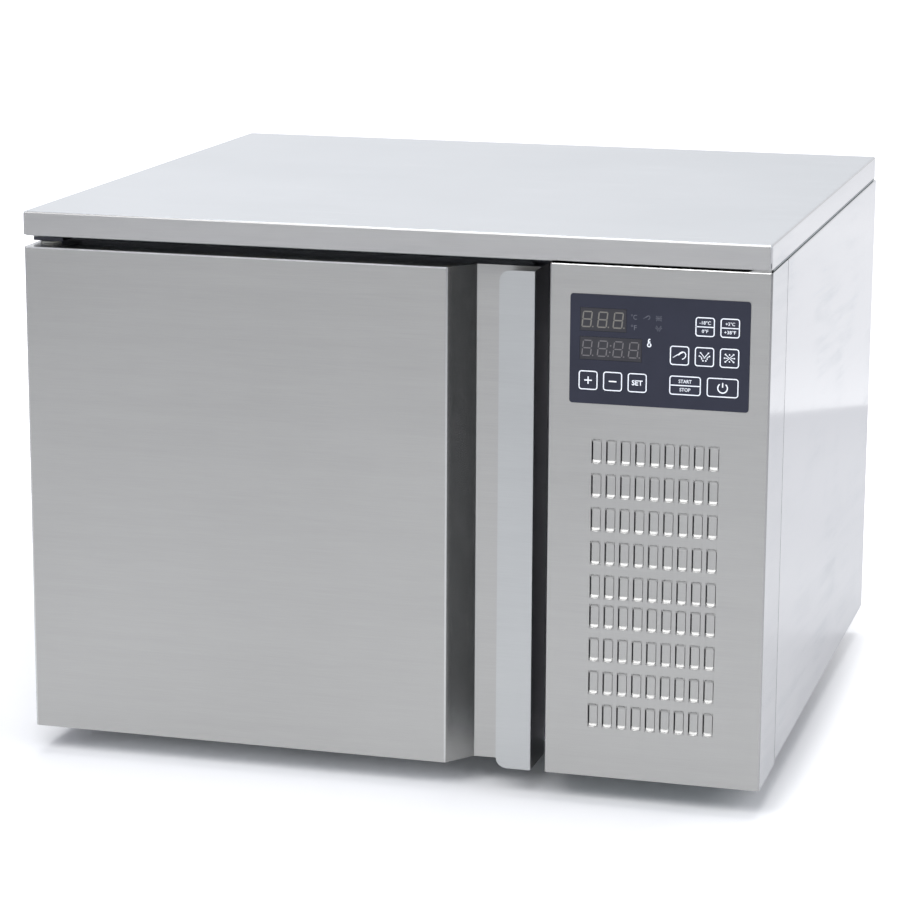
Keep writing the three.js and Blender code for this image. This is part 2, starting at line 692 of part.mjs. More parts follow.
function cabinet() {
  const names = ['foot_front_left', 'foot_front_right', 'foot_rear_left', 'foot_rear_right'];
  const feet = footPlaces().map((place, i) => foot(names[i], place));
  const seam = Y_FACE + PANEL_WRAP + PANEL_SEAM;
  return groupOf(
    worktop(),
    worktopCore(),
    deckPlate(),
    sidePanel('left_side_panel', X_LEFT, 1, Y_FRAME),
    sidePanel('right_side_panel', X_RIGHT, -1, seam),
    frontServicePanel(),
    rearPanel(),
    basePan(),
    compartmentPartition(),
    mullionCover(),
    ...feet,
  );
}

// ---------------------------------------------------------------- door

/** Section of the door in plan: flat face, slanted wall and floor of the finger channel, handle lip, back. */
function doorLine(inset) {
  const mouth = DOOR_W - CHANNEL_MOUTH;
  const floor = DOOR_W - CHANNEL_FLOOR;
  return offsetLine(
    [
      POINT(0, DOOR_T),
      POINT(0, 0),
      POINT(mouth, 0),
      POINT(floor, CHANNEL_D),
      POINT(DOOR_W - SHEET, CHANNEL_D),
      POINT(DOOR_W - SHEET, DOOR_T),
    ],
    inset,
  );
}

/** The skin: one folded sheet with the finger channel along its whole height, its edges turned in. */
function doorSkin() {
  const face = roundCorners(doorLine(0), BEND + SHEET, BEND, 3);
  const lip = foldedSheet(
    [POINT(DOOR_W - LIP_W, 0), POINT(DOOR_W, 0), POINT(DOOR_W, DOOR_T)],
    SHEET,
    3,
  );
  const body = prism('z', shapeOf(face), 0, DOOR_H);
  const corners = [-1, 1].map((end) => {
    const z = end < 0 ? 0 : DOOR_H;
    const centre = z - end * LIP_CORNER;
    const x = DOOR_W - LIP_W;
    const from = end < 0 ? 1.5 * Math.PI : 0.5 * Math.PI;
    const round = arc(x + LIP_CORNER, centre, LIP_CORNER, from, Math.PI, 4);
    const beyond = [POINT(x - 1, z + end), POINT(x + LIP_CORNER, z + end)];
    return prism('y', shapeOf([...beyond, ...round, POINT(x - 1, centre)]), -1, SHEET + 0.5);
  });
  const handle = cut(prism('z', shapeOf(lip), 0, DOOR_H), corners);
  const inner = roundCorners(doorCavity(SHEET), BEND, BEND + SHEET, 2);
  const cavity = prism('z', shapeOf(inner), SHEET, DOOR_H - SHEET);
  const [x0, x1, z0, z1] = mouthBox(GASKET_LAP + GASKET_W + LINER_MARGIN - LINER_LAP);
  const opening = block(x0, x1, DOOR_T - SHEET - 1, DOOR_T + 1, z0, z1);
  const bushes = bar('z', HINGE_IN, HINGE_BACK, BUSH_R + FIT, -1, DOOR_H + 1);
  return piece('door_skin', cut(body.add(handle), [cavity, opening, bushes]), 'brushed');
}

/** Hollow of the skin, in plan: the door's line moved inwards and stopped at the turned-in back edge. */
function doorCavity(inset) {
  const line = doorLine(inset);
  const yBack = DOOR_T - inset;
  line[0].y = yBack;
  line[line.length - 1].y = yBack;
  return line;
}

/** Foam that fills the skin, bored for the hinge bushes. */
function doorFoam() {
  const inset = SHEET + FIT;
  const core = prism('z', shapeOf(doorCavity(inset)), inset, DOOR_H - inset);
  const bore = bar('z', HINGE_IN, HINGE_BACK, BUSH_R + FIT, -1, DOOR_H + 1);
  return piece('door_foam', core.subtract(bore), 'foam');
}

/** Chamber mouth in the door's own coordinates. */
function mouthBox(margin) {
  return [
    CHAMBER_X0 - X_DOOR - margin,
    CHAMBER_X1 - X_DOOR + margin,
    CHAMBER_Z0 - Z_BODY - margin,
    CHAMBER_Z1 - Z_BODY + margin,
  ];
}

/** Formed inner panel: flat rim under the gasket and a raised field inside it. */
function doorLiner() {
  const rim = shapeOf(roundedRect(...mouthBox(GASKET_LAP + GASKET_W + LINER_MARGIN), LINER_MARGIN));
  const y = DOOR_T + FIT;
  const plate = prism('y', rim, y, y + LINER_PLATE);
  const field = shapeOf(roundedRect(...mouthBox(0), CHAMBER_CORNER));
  const draft = { bevelThickness: LINER_RISE, bevelSize: LINER_RISE, bevelOffset: -LINER_RISE };
  const steps = { depth: 0.5, bevelEnabled: true, bevelSegments: 1 };
  const raised = new THREE.ExtrudeGeometry(field, { ...steps, ...draft });
  raised.applyMatrix4(SWEEP.y);
  raised.translate(0, y + LINER_PLATE, 0);
  const front = block(-DOOR_W, 2 * DOOR_W, -DOOR_T, y + LINER_PLATE / 2, -DOOR_H, 2 * DOOR_H);
  return piece('door_liner', plate.add(solidOf(raised).subtract(front)), 'polished');
}

/** Magnetic gasket: a narrow foot on the liner and a wider bulb against the chamber frame. */
function doorGasket() {
  const inner = GASKET_LAP;
  const outer = GASKET_LAP + GASKET_W;
  const y0 = DOOR_T + FIT + LINER_PLATE + FIT;
  const y1 = DOOR_T + SEAL_GAP - FIT;
  const neck = 3;
  const ring = (lap, width, from, to) => {
    const outline = roundedRect(...mouthBox(lap + width), CHAMBER_CORNER);
    const hole = roundedRect(...mouthBox(lap), CHAMBER_CORNER);
    return prism('y', shapeOf(outline, [hole]), from, to);
  };
  const foot = ring(inner + neck, outer - inner - 2 * neck, y0, y0 + neck + 0.5);
  const bulb = ring(inner, outer - inner, y0 + neck, y1);
  return piece('door_gasket', foot.add(bulb), 'rubber');
}

/** Flanged bush in the door's edge, drawn pointing down from a flange at height zero. */
function hingeBush(name, upright) {
  const profile = [
    [PIN_R + FIT, -BUSH_L],
    [BUSH_R, -BUSH_L],
    [BUSH_R, 0],
    [BUSH_FLANGE_R, 0],
    [BUSH_FLANGE_R, BUSH_FLANGE],
    [PIN_R + FIT, BUSH_FLANGE],
    [PIN_R + FIT, -BUSH_L],
  ];
  const flipped = profile.map(([r, h]) => [r, -h]).reverse();
  const seat = upright ? DOOR_H + FIT : -FIT;
  return piece(name, turned(upright ? profile : flipped), 'nylon', [HINGE_IN, HINGE_BACK, seat]);
}

function door() {
  const group = groupOf(
    doorSkin(),
    doorFoam(),
    doorLiner(),
    doorGasket(),
    hingeBush('hinge_bush_top', true),
    hingeBush('hinge_bush_bottom', false),
  );
  group.position.set(X_DOOR, Y_FACE, Z_BODY);
  return group;
}

// ---------------------------------------------------------------- hinges on the cabinet

function bracketOutline() {
  const y0 = Y_FACE + BRACKET_FRONT;
  return shapeOf(
    roundedRect(BRACKET_X, BRACKET_X + BRACKET_W, y0, y0 + BRACKET_L, 3),
    [circle(HINGE_X, HINGE_Y, PIN_R + FIT, 12)],
  );
}

/** Flat bracket let into the top of the chamber frame. */
function topBracket() {
  const plate = prism('z', bracketOutline(), Z_TOP_BRACKET, Z_TOP_BRACKET + BRACKET);
  return piece('hinge_bracket_top', plate, 'zinc');
}

/** Lower bracket: carries the door in front and steps up under the side panel's turned edge behind. */
function lowBracket() {
  const y0 = Y_FACE + BRACKET_FRONT;
  const rise = Z_SIDE - FIT - BRACKET - Z_LOW_BRACKET; // height of the step
  const yStep = Y_FRAME - SEAL_GAP / 2;
  const under = [
    POINT(y0 + BRACKET_L, Z_LOW_BRACKET + rise),
    POINT(yStep + rise, Z_LOW_BRACKET + rise),
    POINT(yStep, Z_LOW_BRACKET),
    POINT(y0, Z_LOW_BRACKET),
  ];
  const upper = offsetLine(under, -BRACKET).reverse();
  const plate = prism('x', shapeOf([...under, ...upper]), BRACKET_X, BRACKET_X + BRACKET_W);
  const hole = bar('z', HINGE_X, HINGE_Y, PIN_R + FIT, Z_LOW_BRACKET - 1, Z_LOW_BRACKET + BRACKET + 1);
  return piece('hinge_bracket_bottom', plate.subtract(hole), 'zinc');
}

/** Shouldered pin through a bracket; the head lies on the bracket's outer side. */
function hingePin(name, zHead, towards) {
  const head = 2;
  const length = FIT + BRACKET + BRACKET_RISE + BUSH_FLANGE + BUSH_L - PIN_R;
  const profile = [
    [0, -length],
    [PIN_R - 1, -length],
    [PIN_R, 1 - length],
    [PIN_R, 0],
    [PIN_HEAD_R, 0],
    [PIN_HEAD_R, head - 0.5],
    [PIN_HEAD_R - 0.5, head],
    [0, head],
  ];
  const flipped = profile.map(([r, h]) => [r, -h]).reverse();
  const solid = turned(towards < 0 ? profile : flipped);
  return piece(name, solid, 'polished', [HINGE_X, HINGE_Y, zHead]);
}

function hinges() {
  return groupOf(
    topBracket(),
    lowBracket(),
    hingePin('hinge_pin_top', Z_TOP_BRACKET + BRACKET + FIT, -1),
    hingePin('hinge_pin_bottom', Z_LOW_BRACKET - FIT, 1),
  );
}

// ---------------------------------------------------------------- chamber

function chamberSection(margin) {
  return roundedRect(
    CHAMBER_X0 - margin,
    CHAMBER_X1 + margin,
    CHAMBER_Z0 - margin,
    CHAMBER_Z1 + margin,
    CHAMBER_CORNER + margin,
    4,
  );
}

/** Room for the upper hinge bracket in the frame and the foam. */
function bracketNotch() {
  const xEnd = BRACKET_X + BRACKET_W + FIT;
  const yEnd = Y_FACE + BRACKET_FRONT + BRACKET_L + FIT;
  return block(X_LEFT, xEnd, Y_FACE, yEnd, Z_TOP_BRACKET - FIT, Z_CEILING + 1);
}

/** Bores for what runs through the chamber's walls, each with a clearance round it. */
function wallBores() {
  return [
    bar('z', CHAMBER_X, DRAIN_Y, DRAIN_R + FIT, Z_SIDE, CHAMBER_Z0 + 1),
    bar('x', GROMMET_Y, GROMMET_Z, GROMMET_R + FIT, CHAMBER_X1 - 1, X_PARTITION),
    bar('x', SUCTION_Y, SUCTION_Z, TUBE_R + FIT, CHAMBER_X1 - 1, X_PARTITION),
  ];
}

/** Plastic frame round the chamber mouth, the seat of the door gasket. */
function chamberFrame() {
  const outline = rect(INNER_LEFT, X_FRAME, Z_FLOOR + FIT, Z_CEILING);
  const ring = prism('y', shapeOf(outline, [chamberSection(0)]), Y_FRAME, Y_FRAME + FRAME_D);
  return piece('chamber_frame', ring.subtract(bracketNotch()), 'darkPlastic');
}

/** Deep-drawn tub with round corners, open at the front. */
function innerLiner() {
  const shell = prism('y', shapeOf(chamberSection(SHEET)), Y_LINER, Y_CHAMBER_BACK + SHEET);
  const hollow = prism('y', shapeOf(chamberSection(0)), Y_LINER - 1, Y_CHAMBER_BACK);
  return piece('inner_liner', cut(shell, [hollow, ...wallBores()]), 'polished');
}

/** Foam round the liner. */
function insulation() {
  const mass = block(INNER_LEFT, X_FRAME, Y_LINER, Y_REAR - SHEET - FIT, Z_FLOOR + FIT, Z_CEILING);
  const tub = prism('y', shapeOf(chamberSection(SHEET + FIT)), Y_LINER - 1, Y_CHAMBER_BACK + SHEET + FIT);
  return piece('insulation', cut(mass, [tub, bracketNotch(), ...wallBores()]), 'foam');
}

/** Wire rack on one wall: two uprights, bridges into the chamber and a runner for each tray level. */
function trayRack(name, wallX, inwards) {
  const xPost = wallX + inwards * RACK_OFF_WALL;
  const xRunner = xPost + inwards * RACK_REACH;
  const yFront = Y_LINER + RACK_FRONT;
  const yRear = yFront + RACK_D;
  const zTop = CHAMBER_Z0 + RACK_LOWEST + (RACK_LEVELS - 1) * RACK_PITCH;
  const span = (a, b) => [Math.min(a, b), Math.max(a, b)];
  const rods = [];
  [yFront, yRear].forEach((y) => {
    rods.push(bar('z', xPost, y, RACK_ROD, CHAMBER_Z0 + RACK_FOOT, zTop + RACK_LOWEST, 6));
    [RACK_LOWEST / 2, RACK_LOWEST / 2 + (RACK_LEVELS - 1) * RACK_PITCH].forEach((rise) => {
      const stud = span(wallX + inwards * FIT, xPost);
      rods.push(bar('x', y, CHAMBER_Z0 + rise, RACK_ROD, ...stud, 6));
    });
  });
  for (let level = 0; level < RACK_LEVELS; level += 1) {
    const z = CHAMBER_Z0 + RACK_LOWEST + level * RACK_PITCH;
    [yFront, yRear].forEach((y) => rods.push(bar('x', y, z, RACK_ROD, ...span(xPost, xRunner), 6)));
    rods.push(bar('y', xRunner, z, RACK_ROD, yFront - RACK_ROD, yRear + RACK_ROD, 6));
  }
  return piece(name, join(rods), 'zinc');
}

/** Quarter of a ring between two radii, spared at both ends for the spokes. */
function guardSlot(cx, cz, inner, outer, quarter) {
  const from = (quarter * Math.PI) / 2;
  const spare = (radius) => Math.asin(GUARD_SPOKE / 2 / radius);
  const edge = (radius) => arc(cx, cz, radius, from + spare(radius), from + Math.PI / 2 - spare(radius), 3);
  return [...edge(outer), ...edge(inner).reverse()];
}

/** Cover in front of the evaporator with a pressed fan guard and return slots at both sides. */
function evaporatorCover() {
  const holes = [];
  for (let ring = 0; ring < GUARD_RINGS; ring += 1) {
    const inner = GUARD_GAP + GUARD_WIRE + ring * (GUARD_GAP + GUARD_WIRE);
    for (let quarter = 0; quarter < 4; quarter += 1) {
      holes.push(guardSlot(CHAMBER_X, CHAMBER_Z, inner, inner + GUARD_GAP, quarter));
    }
  }
  const slotX = (CHAMBER_X1 - CHAMBER_X0) / 2 - 2 * COVER_SIDE_SLOT;
  [-1, 1].forEach((side) => {
    for (let i = 0; i < 2; i += 1) {
      const x = CHAMBER_X + side * (slotX - i * 2 * COVER_SIDE_SLOT);
      const half = EVAP_H / 2 - COVER_SLOT_MARGIN;
      const width = [x - COVER_SIDE_SLOT / 2, x + COVER_SIDE_SLOT / 2];
      holes.push(roundedRect(...width, CHAMBER_Z - half, CHAMBER_Z + half, COVER_SIDE_SLOT / 2 - ARC_GAP, 2));
    }
  });
  const plate = prism('y', shapeOf(chamberSection(-FIT), holes), Y_COVER, Y_COVER + COVER_T);
  const flanges = [CHAMBER_X0 + FIT, CHAMBER_X1 - FIT - COVER_T].map((x) => {
    const z0 = CHAMBER_Z0 + CHAMBER_CORNER + FIT;
    return block(x, x + COVER_T, Y_COVER, Y_COVER + FLANGE, z0, 2 * CHAMBER_Z - z0);
  });
  return piece('evaporator_cover', join([plate, ...flanges]), 'polished');
}

/** Finned coil: a comb of fins between two end plates, with return bends outside the plates. */
function finnedCoil(name, { x, y, z, w, d, h, fins }) {
  const pitch = (w - 2 * COIL_PLATE) / fins;
  const thick = pitch * COIL_FIN;
  const yFront = y + (d * (1 - COIL_SPINE)) / 2;
  const yBack = y + (d * (1 + COIL_SPINE)) / 2;
  const comb = [];
  const row = (yTip, yRoot, order) => order.forEach((i) => {
    const left = x + COIL_PLATE + (i + 0.5) * pitch - thick / 2;
    const near = [POINT(left, yRoot), POINT(left, yTip)];
    const far = [POINT(left + thick, yTip), POINT(left + thick, yRoot)];
    comb.push(...(yTip < yRoot ? [...near, ...far] : [...far.reverse(), ...near.reverse()]));
  });
  const order = [...Array(fins).keys()];
  comb.push(POINT(x, yFront));
  row(y + 1, yFront, order);
  comb.push(POINT(x + w, yFront), POINT(x + w, yBack));
  row(y + d - 1, yBack, order.reverse());
  comb.push(POINT(x, yBack));
  const parts = [
    prism('z', shapeOf(comb), z + COIL_LEG, z + h),
    block(x, x + COIL_PLATE, y, y + d, z, z + h),
    block(x + w - COIL_PLATE, x + w, y, y + d, z, z + h),
  ];
  const step = (h - COIL_LEG) / (2 * COIL_BENDS);
  [[x, -1], [x + w, 1]].forEach(([xEnd, side]) => {
    for (let i = 0; i < COIL_BENDS; i += 1) {
      const low = z + COIL_LEG + (2 * i + 0.5) * step;
      const at = (out, rise) => [xEnd + side * out, y + d / 2, low + rise];
      const bend = [at(-1, 0), at(5, 0), at(9, step / 2), at(5, step), at(-1, step)];
      parts.push(rod(bend, TUBE_R - 0.5, 5, 7));
    }
  });
  return piece(name, join(parts), 'aluminium');
}

const FACE_FORWARD = Math.PI / 2; // turns a local +z axis to the front

/** One fan blade, lofted from hub to tip with its pitch easing off. */
function fanBlade(root, tip, angle, chordRoot, chordTip, pitchRoot, pitchTip) {
  const stations = 3;
  const along = 3;
  const thick = 1.6;
  const loop = 2 * (along + 1);
  const positions = [];
  for (let s = 0; s <= stations; s += 1) {
    const t = s / stations;
    const radius = root + (tip - root) * t;
    const chord = chordRoot + (chordTip - chordRoot) * t;
    const pitch = pitchRoot + (pitchTip - pitchRoot) * t;
    for (let i = 0; i < loop; i += 1) {
      const upper = i <= along;
      const u = (upper ? i : loop - 1 - i) / along - 0.5;
      const camber = chord * 0.08 * (1 - 4 * u * u);
      const lift = camber + (upper ? thick / 2 : -thick / 2);
      const sideways = u * chord * Math.cos(pitch) - lift * Math.sin(pitch);
      const height = u * chord * Math.sin(pitch) + lift * Math.cos(pitch);
      positions.push(
        radius * Math.cos(angle) - sideways * Math.sin(angle),
        radius * Math.sin(angle) + sideways * Math.cos(angle),
        height,
      );
    }
  }
  const index = [];
  const quad = (a, b, c, d) => index.push(a, c, b, a, d, c);
  for (let s = 0; s < stations; s += 1) {
    for (let i = 0; i < loop; i += 1) {
      const next = (i + 1) % loop;
      quad(s * loop + i, s * loop + next, (s + 1) * loop + next, (s + 1) * loop + i);
    }
  }
  const last = stations * loop;
  for (let i = 0; i < along; i += 1) {
    quad(i, loop - 1 - i, loop - 2 - i, i + 1);
    quad(last + i, last + i + 1, last + loop - 2 - i, last + loop - 1 - i);
  }
  const geometry = new THREE.BufferGeometry();
  geometry.setAttribute('position', new THREE.Float32BufferAttribute(positions, 3));
  geometry.setIndex(index);
  return solidOf(geometry);
}

/** Axial fan on a shaft, its hub centred on its own origin. */
function fanWheel(name, radius, [x, y, z]) {
  const depth = FAN_DEPTH / 2;
  const hub = turned([
    [SHAFT_R + FIT, -depth],
    [FAN_HUB_R, -depth],
    [FAN_HUB_R, depth - 2],
    [FAN_HUB_R - 2, depth],
    [SHAFT_R + FIT, depth],
    [SHAFT_R + FIT, -depth],
  ], 15);
  const wings = [];
  for (let i = 0; i < FAN_BLADES; i += 1) {
    const angle = (2 * Math.PI * i) / FAN_BLADES;
    const [root, tip] = [FAN_HUB_R * 0.7, radius - FAN_CLEARANCE];
    wings.push(fanBlade(root, tip, angle, FAN_HUB_R, radius * 0.55, FAN_PITCH_ROOT, FAN_PITCH_TIP));
  }
  const mesh = piece(name, join([hub, ...wings]), 'fan', [x, y, z]);
  mesh.rotation.x = FACE_FORWARD;
  return mesh;
}

/** Fan motor: can, shaft through the wheel, and three arms with posts to the plate in front of it. */
function fanMotor(name, postR, reach, canR, canL, [x, y, z]) {
  const depth = FAN_DEPTH / 2;
  const rear = -depth - MOTOR_GAP;
  const can = turned([
    [0, rear - canL],
    [canR - 3, rear - canL],
    [canR, rear - canL + 3],
    [canR, rear - 2],
    [canR - 2, rear],
    [SHAFT_R, rear],
    [SHAFT_R, depth],
    [0, depth],
  ], 15);
  const arms = [0, 1, 2].flatMap((i) => {
    const angle = Math.PI / 2 + (2 * Math.PI * i) / 3;
    const arm = block(canR - 4, postR + 3, -4, 4, rear - 7, rear - 4);
    const post = bar('z', postR, 0, 3, rear - 6, reach, 6);
    const degrees = (angle * 180) / Math.PI;
    return [arm.rotate([0, 0, degrees]), post.rotate([0, 0, degrees])];
  });
  const mesh = piece(name, join([can, ...arms]), 'shell', [x, y, z]);
  mesh.rotation.x = FACE_FORWARD;
  return mesh;
}

/** Drain tube through the floor with a flange in the chamber. */
function chamberDrain() {
  const seat = CHAMBER_Z0 + FIT;
  const low = Z_SIDE - seat;
  const profile = [
    [DRAIN_R - 2, low],
    [DRAIN_R, low],
    [DRAIN_R, 0],
    [DRAIN_FLANGE_R, 0],
    [DRAIN_FLANGE_R - 1, 1.5],
    [DRAIN_R - 2, 1.5],
    [DRAIN_R - 2, low],
  ];
  return piece('chamber_drain', turned(profile), 'nylon', [CHAMBER_X, DRAIN_Y, seat]);
}

/** Grommet for the core probe's lead, through the right wall of the chamber. */
function probeGrommet() {
  const seat = CHAMBER_X1 - FIT;
  const length = X_PARTITION + PARTITION + 4 - seat;
  const profile = [
    [0, -length],
    [GROMMET_R, -length],
    [GROMMET_R, 0],
    [GROMMET_FLANGE_R, 0],
    [GROMMET_FLANGE_R - 1, 3],
    [0, 3],
  ];
  const mesh = piece('probe_grommet', turned(profile), 'rubber', [seat, GROMMET_Y, GROMMET_Z]);
  mesh.rotation.y = -Math.PI / 2;
  return mesh;
}

function chamber() {
  const fanY = Y_COVER + COVER_T + FAN_CLEARANCE + FAN_DEPTH / 2;
  const fanAt = [CHAMBER_X, fanY, CHAMBER_Z];
  const postR = EVAP_FAN_R + FAN_CLEARANCE + MOTOR_POST_GAP;
  const postReach = fanY - Y_COVER - COVER_T - FIT;
  return groupOf(
    chamberFrame(),
    innerLiner(),
    insulation(),
    trayRack('tray_rack_left', CHAMBER_X0, 1),
    trayRack('tray_rack_right', CHAMBER_X1, -1),
    evaporatorCover(),
    finnedCoil('evaporator_coil', {
      x: CHAMBER_X - EVAP_W / 2,
      y: EVAP_Y,
      z: CHAMBER_Z0 + FIT,
      w: EVAP_W,
      d: EVAP_D,
      h: EVAP_H,
      fins: EVAP_FINS,
    }),
    fanWheel('evaporator_fan_blade', EVAP_FAN_R, fanAt),
    fanMotor('evaporator_fan_motor', postR, postReach, EVAP_MOTOR_R, EVAP_MOTOR_L, fanAt),
    chamberDrain(),
    probeGrommet(),
  );
}

// ---------------------------------------------------------------- condensing unit

/** Plate behind the condenser with a collar round the fan. */
function condenserShroud() {
  const half = COND_W / 2;
  const ringR = COND_FAN_R + FAN_CLEARANCE;
  const outline = rect(FAN_X - half, FAN_X + half, COND_Z, COND_Z + COND_H);
  const ring = (radius) => circle(FAN_X, CONDENSER_CENTRE_Z, radius, 20);
  const plate = prism('y', shapeOf(outline, [ring(ringR)]), Y_SHROUD, Y_SHROUD + SHROUD);
  const wall = shapeOf(ring(ringR + SHROUD), [ring(ringR)]);
  const collar = prism('y', wall, Y_SHROUD, Y_SHROUD + SHROUD_RING);
  return piece('condenser_fan_shroud', plate.add(collar), 'galvanised');
}

/** Centre line of a pipe stub on the compressor: suction on side -1, discharge on side 1. */
function stubPath(side) {
  const outwards = [STUB_ROOT, STUB_OUT - TUBE_R, STUB_OUT, STUB_OUT];
  const upwards = [0, TUBE_R / 2, 3 * TUBE_R, STUB_RISE];
  return outwards.map((out, i) => [side * out, -out, STUB_Z + upwards[i]]);
}

/** Welded compressor shell on its foot plate and rubber feet, with terminal cover and two pipe stubs. */
function compressor() {
  const r = COMPRESSOR_R;
  const plateZ = COMPRESSOR_PLATE_Z;
  const top = COMPRESSOR_H;
  const shell = turned([
    [0, plateZ],
    [r * 0.7, plateZ],
    [r * 0.9, plateZ + 8],
    [r, plateZ + 26],
    [r, top * 0.52],
    [r * 1.03, top * 0.53],
    [r * 1.03, top * 0.57],
    [r, top * 0.58],
    [r * 0.97, top * 0.78],
    [r * 0.82, top * 0.91],
    [r * 0.5, top * 0.98],
    [0, top],
  ], 18);
  const reach = r * 0.86;
  const outline = shapeOf(roundedRect(-reach, reach, -reach, reach, 12));
  const plate = prism('z', outline, plateZ, plateZ + COMPRESSOR_PLATE);
  const corner = reach - COMPRESSOR_FOOT_R - 2;
  const feet = [[-1, -1], [1, -1], [1, 1], [-1, 1]].map(([sx, sy]) => (
    bar('z', sx * corner, sy * corner, COMPRESSOR_FOOT_R, 0, plateZ + 0.5, 8)
  ));
  const cover = block(r * 0.7, r + 18, -24, 24, top * 0.3, top * 0.62);
  const stubs = [-1, 1].map((side) => rod(stubPath(side), TUBE_R, 6, 6));
  const whole = join([shell, plate, ...feet, cover, ...stubs]);
  return piece('compressor', whole, 'shell', [FAN_X, COMPRESSOR_Y, Z_FLOOR + FIT]);
}

/** Copper capsule with a narrow neck at each end. */
function filterDrier() {
  const half = DRIER_L / 2;
  const profile = [
    [0, -half],
    [TUBE_R, -half],
    [TUBE_R, -half + DRIER_NECK],
    [DRIER_R, -half + DRIER_NECK + DRIER_TAPER],
    [DRIER_R, half - DRIER_NECK - DRIER_TAPER],
    [TUBE_R, half - DRIER_NECK],
    [TUBE_R, half],
    [0, half],
  ];
  return piece('filter_drier', turned(profile), 'copper', [DRIER_X, DRIER_Y, DRIER_Z]);
}

/** Copper pipes, each ending a clearance short of what it is brazed to. */
function pipes() {
  const stubTop = (side) => {
    const [x, y, z] = stubPath(side).pop();
    return [FAN_X + x, COMPRESSOR_Y + y, Z_FLOOR + FIT + z + FIT];
  };
  const [suctionX, suctionY, suctionZ] = stubTop(-1);
  const [dischargeX, dischargeY, dischargeZ] = stubTop(1);
  const coilRight = FAN_X + COND_W / 2;
  const coilLeft = FAN_X - COND_W / 2;
  const coilY = Y_COND + COND_D - TUBE_R - 2;
  const behind = Y_SHROUD + SHROUD_RING + 20;
  const suction = rod([
    [CHAMBER_X + EVAP_W / 2 + FIT, SUCTION_Y, SUCTION_Z],
    [X_PARTITION - 25, SUCTION_Y, SUCTION_Z],
    [X_PARTITION - 5, SUCTION_Y, SUCTION_Z],
    [X_PARTITION + 12, SUCTION_Y, SUCTION_Z],
    [suctionX - 12, SUCTION_Y - 10, SUCTION_Z],
    [suctionX, suctionY, SUCTION_Z - 22],
    [suctionX, suctionY, suctionZ + 14],
    [suctionX, suctionY, suctionZ],
  ], TUBE_R, 6, 28);
  const topZ = COND_Z + COND_H - 16;
  const discharge = rod([
    [dischargeX, dischargeY, dischargeZ],
    [dischargeX, dischargeY, dischargeZ + 14],
    [dischargeX, dischargeY - 14, dischargeZ + 30],
    [dischargeX, behind + 60, topZ + 22],
    [coilRight + 7, behind, topZ + 22],
    [coilRight + 9, coilY + 20, topZ + 6],
    [coilRight + 8, coilY + 6, topZ],
    [coilRight + 4, coilY, topZ],
    [coilRight + FIT, coilY, topZ],
  ], TUBE_R - 1, 6, 34);
  const liquid = rod([
    [coilLeft - FIT, coilY, COND_Z + 12],
    [coilLeft - 4, coilY, COND_Z + 12],
    [coilLeft - 7, coilY + 20, COND_Z + 12],
    [DRIER_X, DRIER_Y - 22, DRIER_Z - DRIER_L / 2 - 22],
    [DRIER_X, DRIER_Y, DRIER_Z - DRIER_L / 2 - 16],
    [DRIER_X, DRIER_Y, DRIER_Z - DRIER_L / 2 - FIT],
  ], TUBE_R - 1, 6, 20);
  return [
    piece('suction_pipe', suction, 'copper'),
    piece('discharge_pipe', discharge, 'copper'),
    piece('liquid_pipe', liquid, 'copper'),
  ];
}

/** Box of the power board on the partition, with a lid that stands out round its edge. */
function powerBox() {
  const x0 = X_PARTITION + PARTITION + FIT;
  const section = (grow) => shapeOf(roundedRect(
    POWER_BOX_Y - grow, POWER_BOX_Y + POWER_BOX_D + grow,
    POWER_BOX_Z - grow, POWER_BOX_Z + POWER_BOX_H + grow,
    5 + grow,
  ));
  const xLid = x0 + POWER_BOX_W - POWER_LID;
  const tub = prism('x', section(0), x0, xLid + 1);
  const lid = prism('x', section(POWER_LID_LAP), xLid, x0 + POWER_BOX_W);
  return piece('power_box', tub.add(lid), 'darkPlastic');
}

/** Gland for the mains lead in the rear panel, with its nut inside. */
function cableGland() {
  const inside = -SHEET - 6;
  const profile = [
    [0, inside],
    [GLAND_R + GLAND_NUT, inside],
    [GLAND_R + GLAND_NUT, -SHEET - FIT],
    [GLAND_R, -SHEET - FIT],
    [GLAND_R, FIT],
    [GLAND_R + GLAND_NUT, FIT],
    [GLAND_R + GLAND_NUT, 5],
    [GLAND_R + 1, 6],
    [GLAND_R - 1, GLAND_L],
    [GLAND_R - GLAND_NUT, GLAND_L],
    [GLAND_R - GLAND_NUT, 4],
    [0, 4],
  ];
  const mesh = piece('cable_gland', turned(profile), 'nylon', [FAN_X, Y_REAR, GLAND_Z]);
  mesh.rotation.x = -Math.PI / 2;
  return mesh;
}

function condensingUnit() {
  const fanY = Y_SHROUD + SHROUD_RING / 2 + FAN_DEPTH / 2 - COND_FAN_FORWARD;
  const fanAt = [FAN_X, fanY, CONDENSER_CENTRE_Z];
  const postR = COND_FAN_R + FAN_CLEARANCE + MOTOR_POST_GAP;
  const postReach = fanY - Y_SHROUD - SHROUD - FIT;
  return groupOf(
    finnedCoil('condenser_coil', {
      x: FAN_X - COND_W / 2,
      y: Y_COND,
      z: COND_Z,
      w: COND_W,
      d: COND_D,
      h: COND_H,
      fins: COND_FINS,
    }),
    condenserShroud(),
    fanWheel('condenser_fan_blade', COND_FAN_R, fanAt),
    fanMotor('condenser_fan_motor', postR, postReach, COND_MOTOR_R, COND_MOTOR_L, fanAt),
    compressor(),
    filterDrier(),
    ...pipes(),
    powerBox(),
    cableGland(),
  );
}

// ---------------------------------------------------------------- keypad

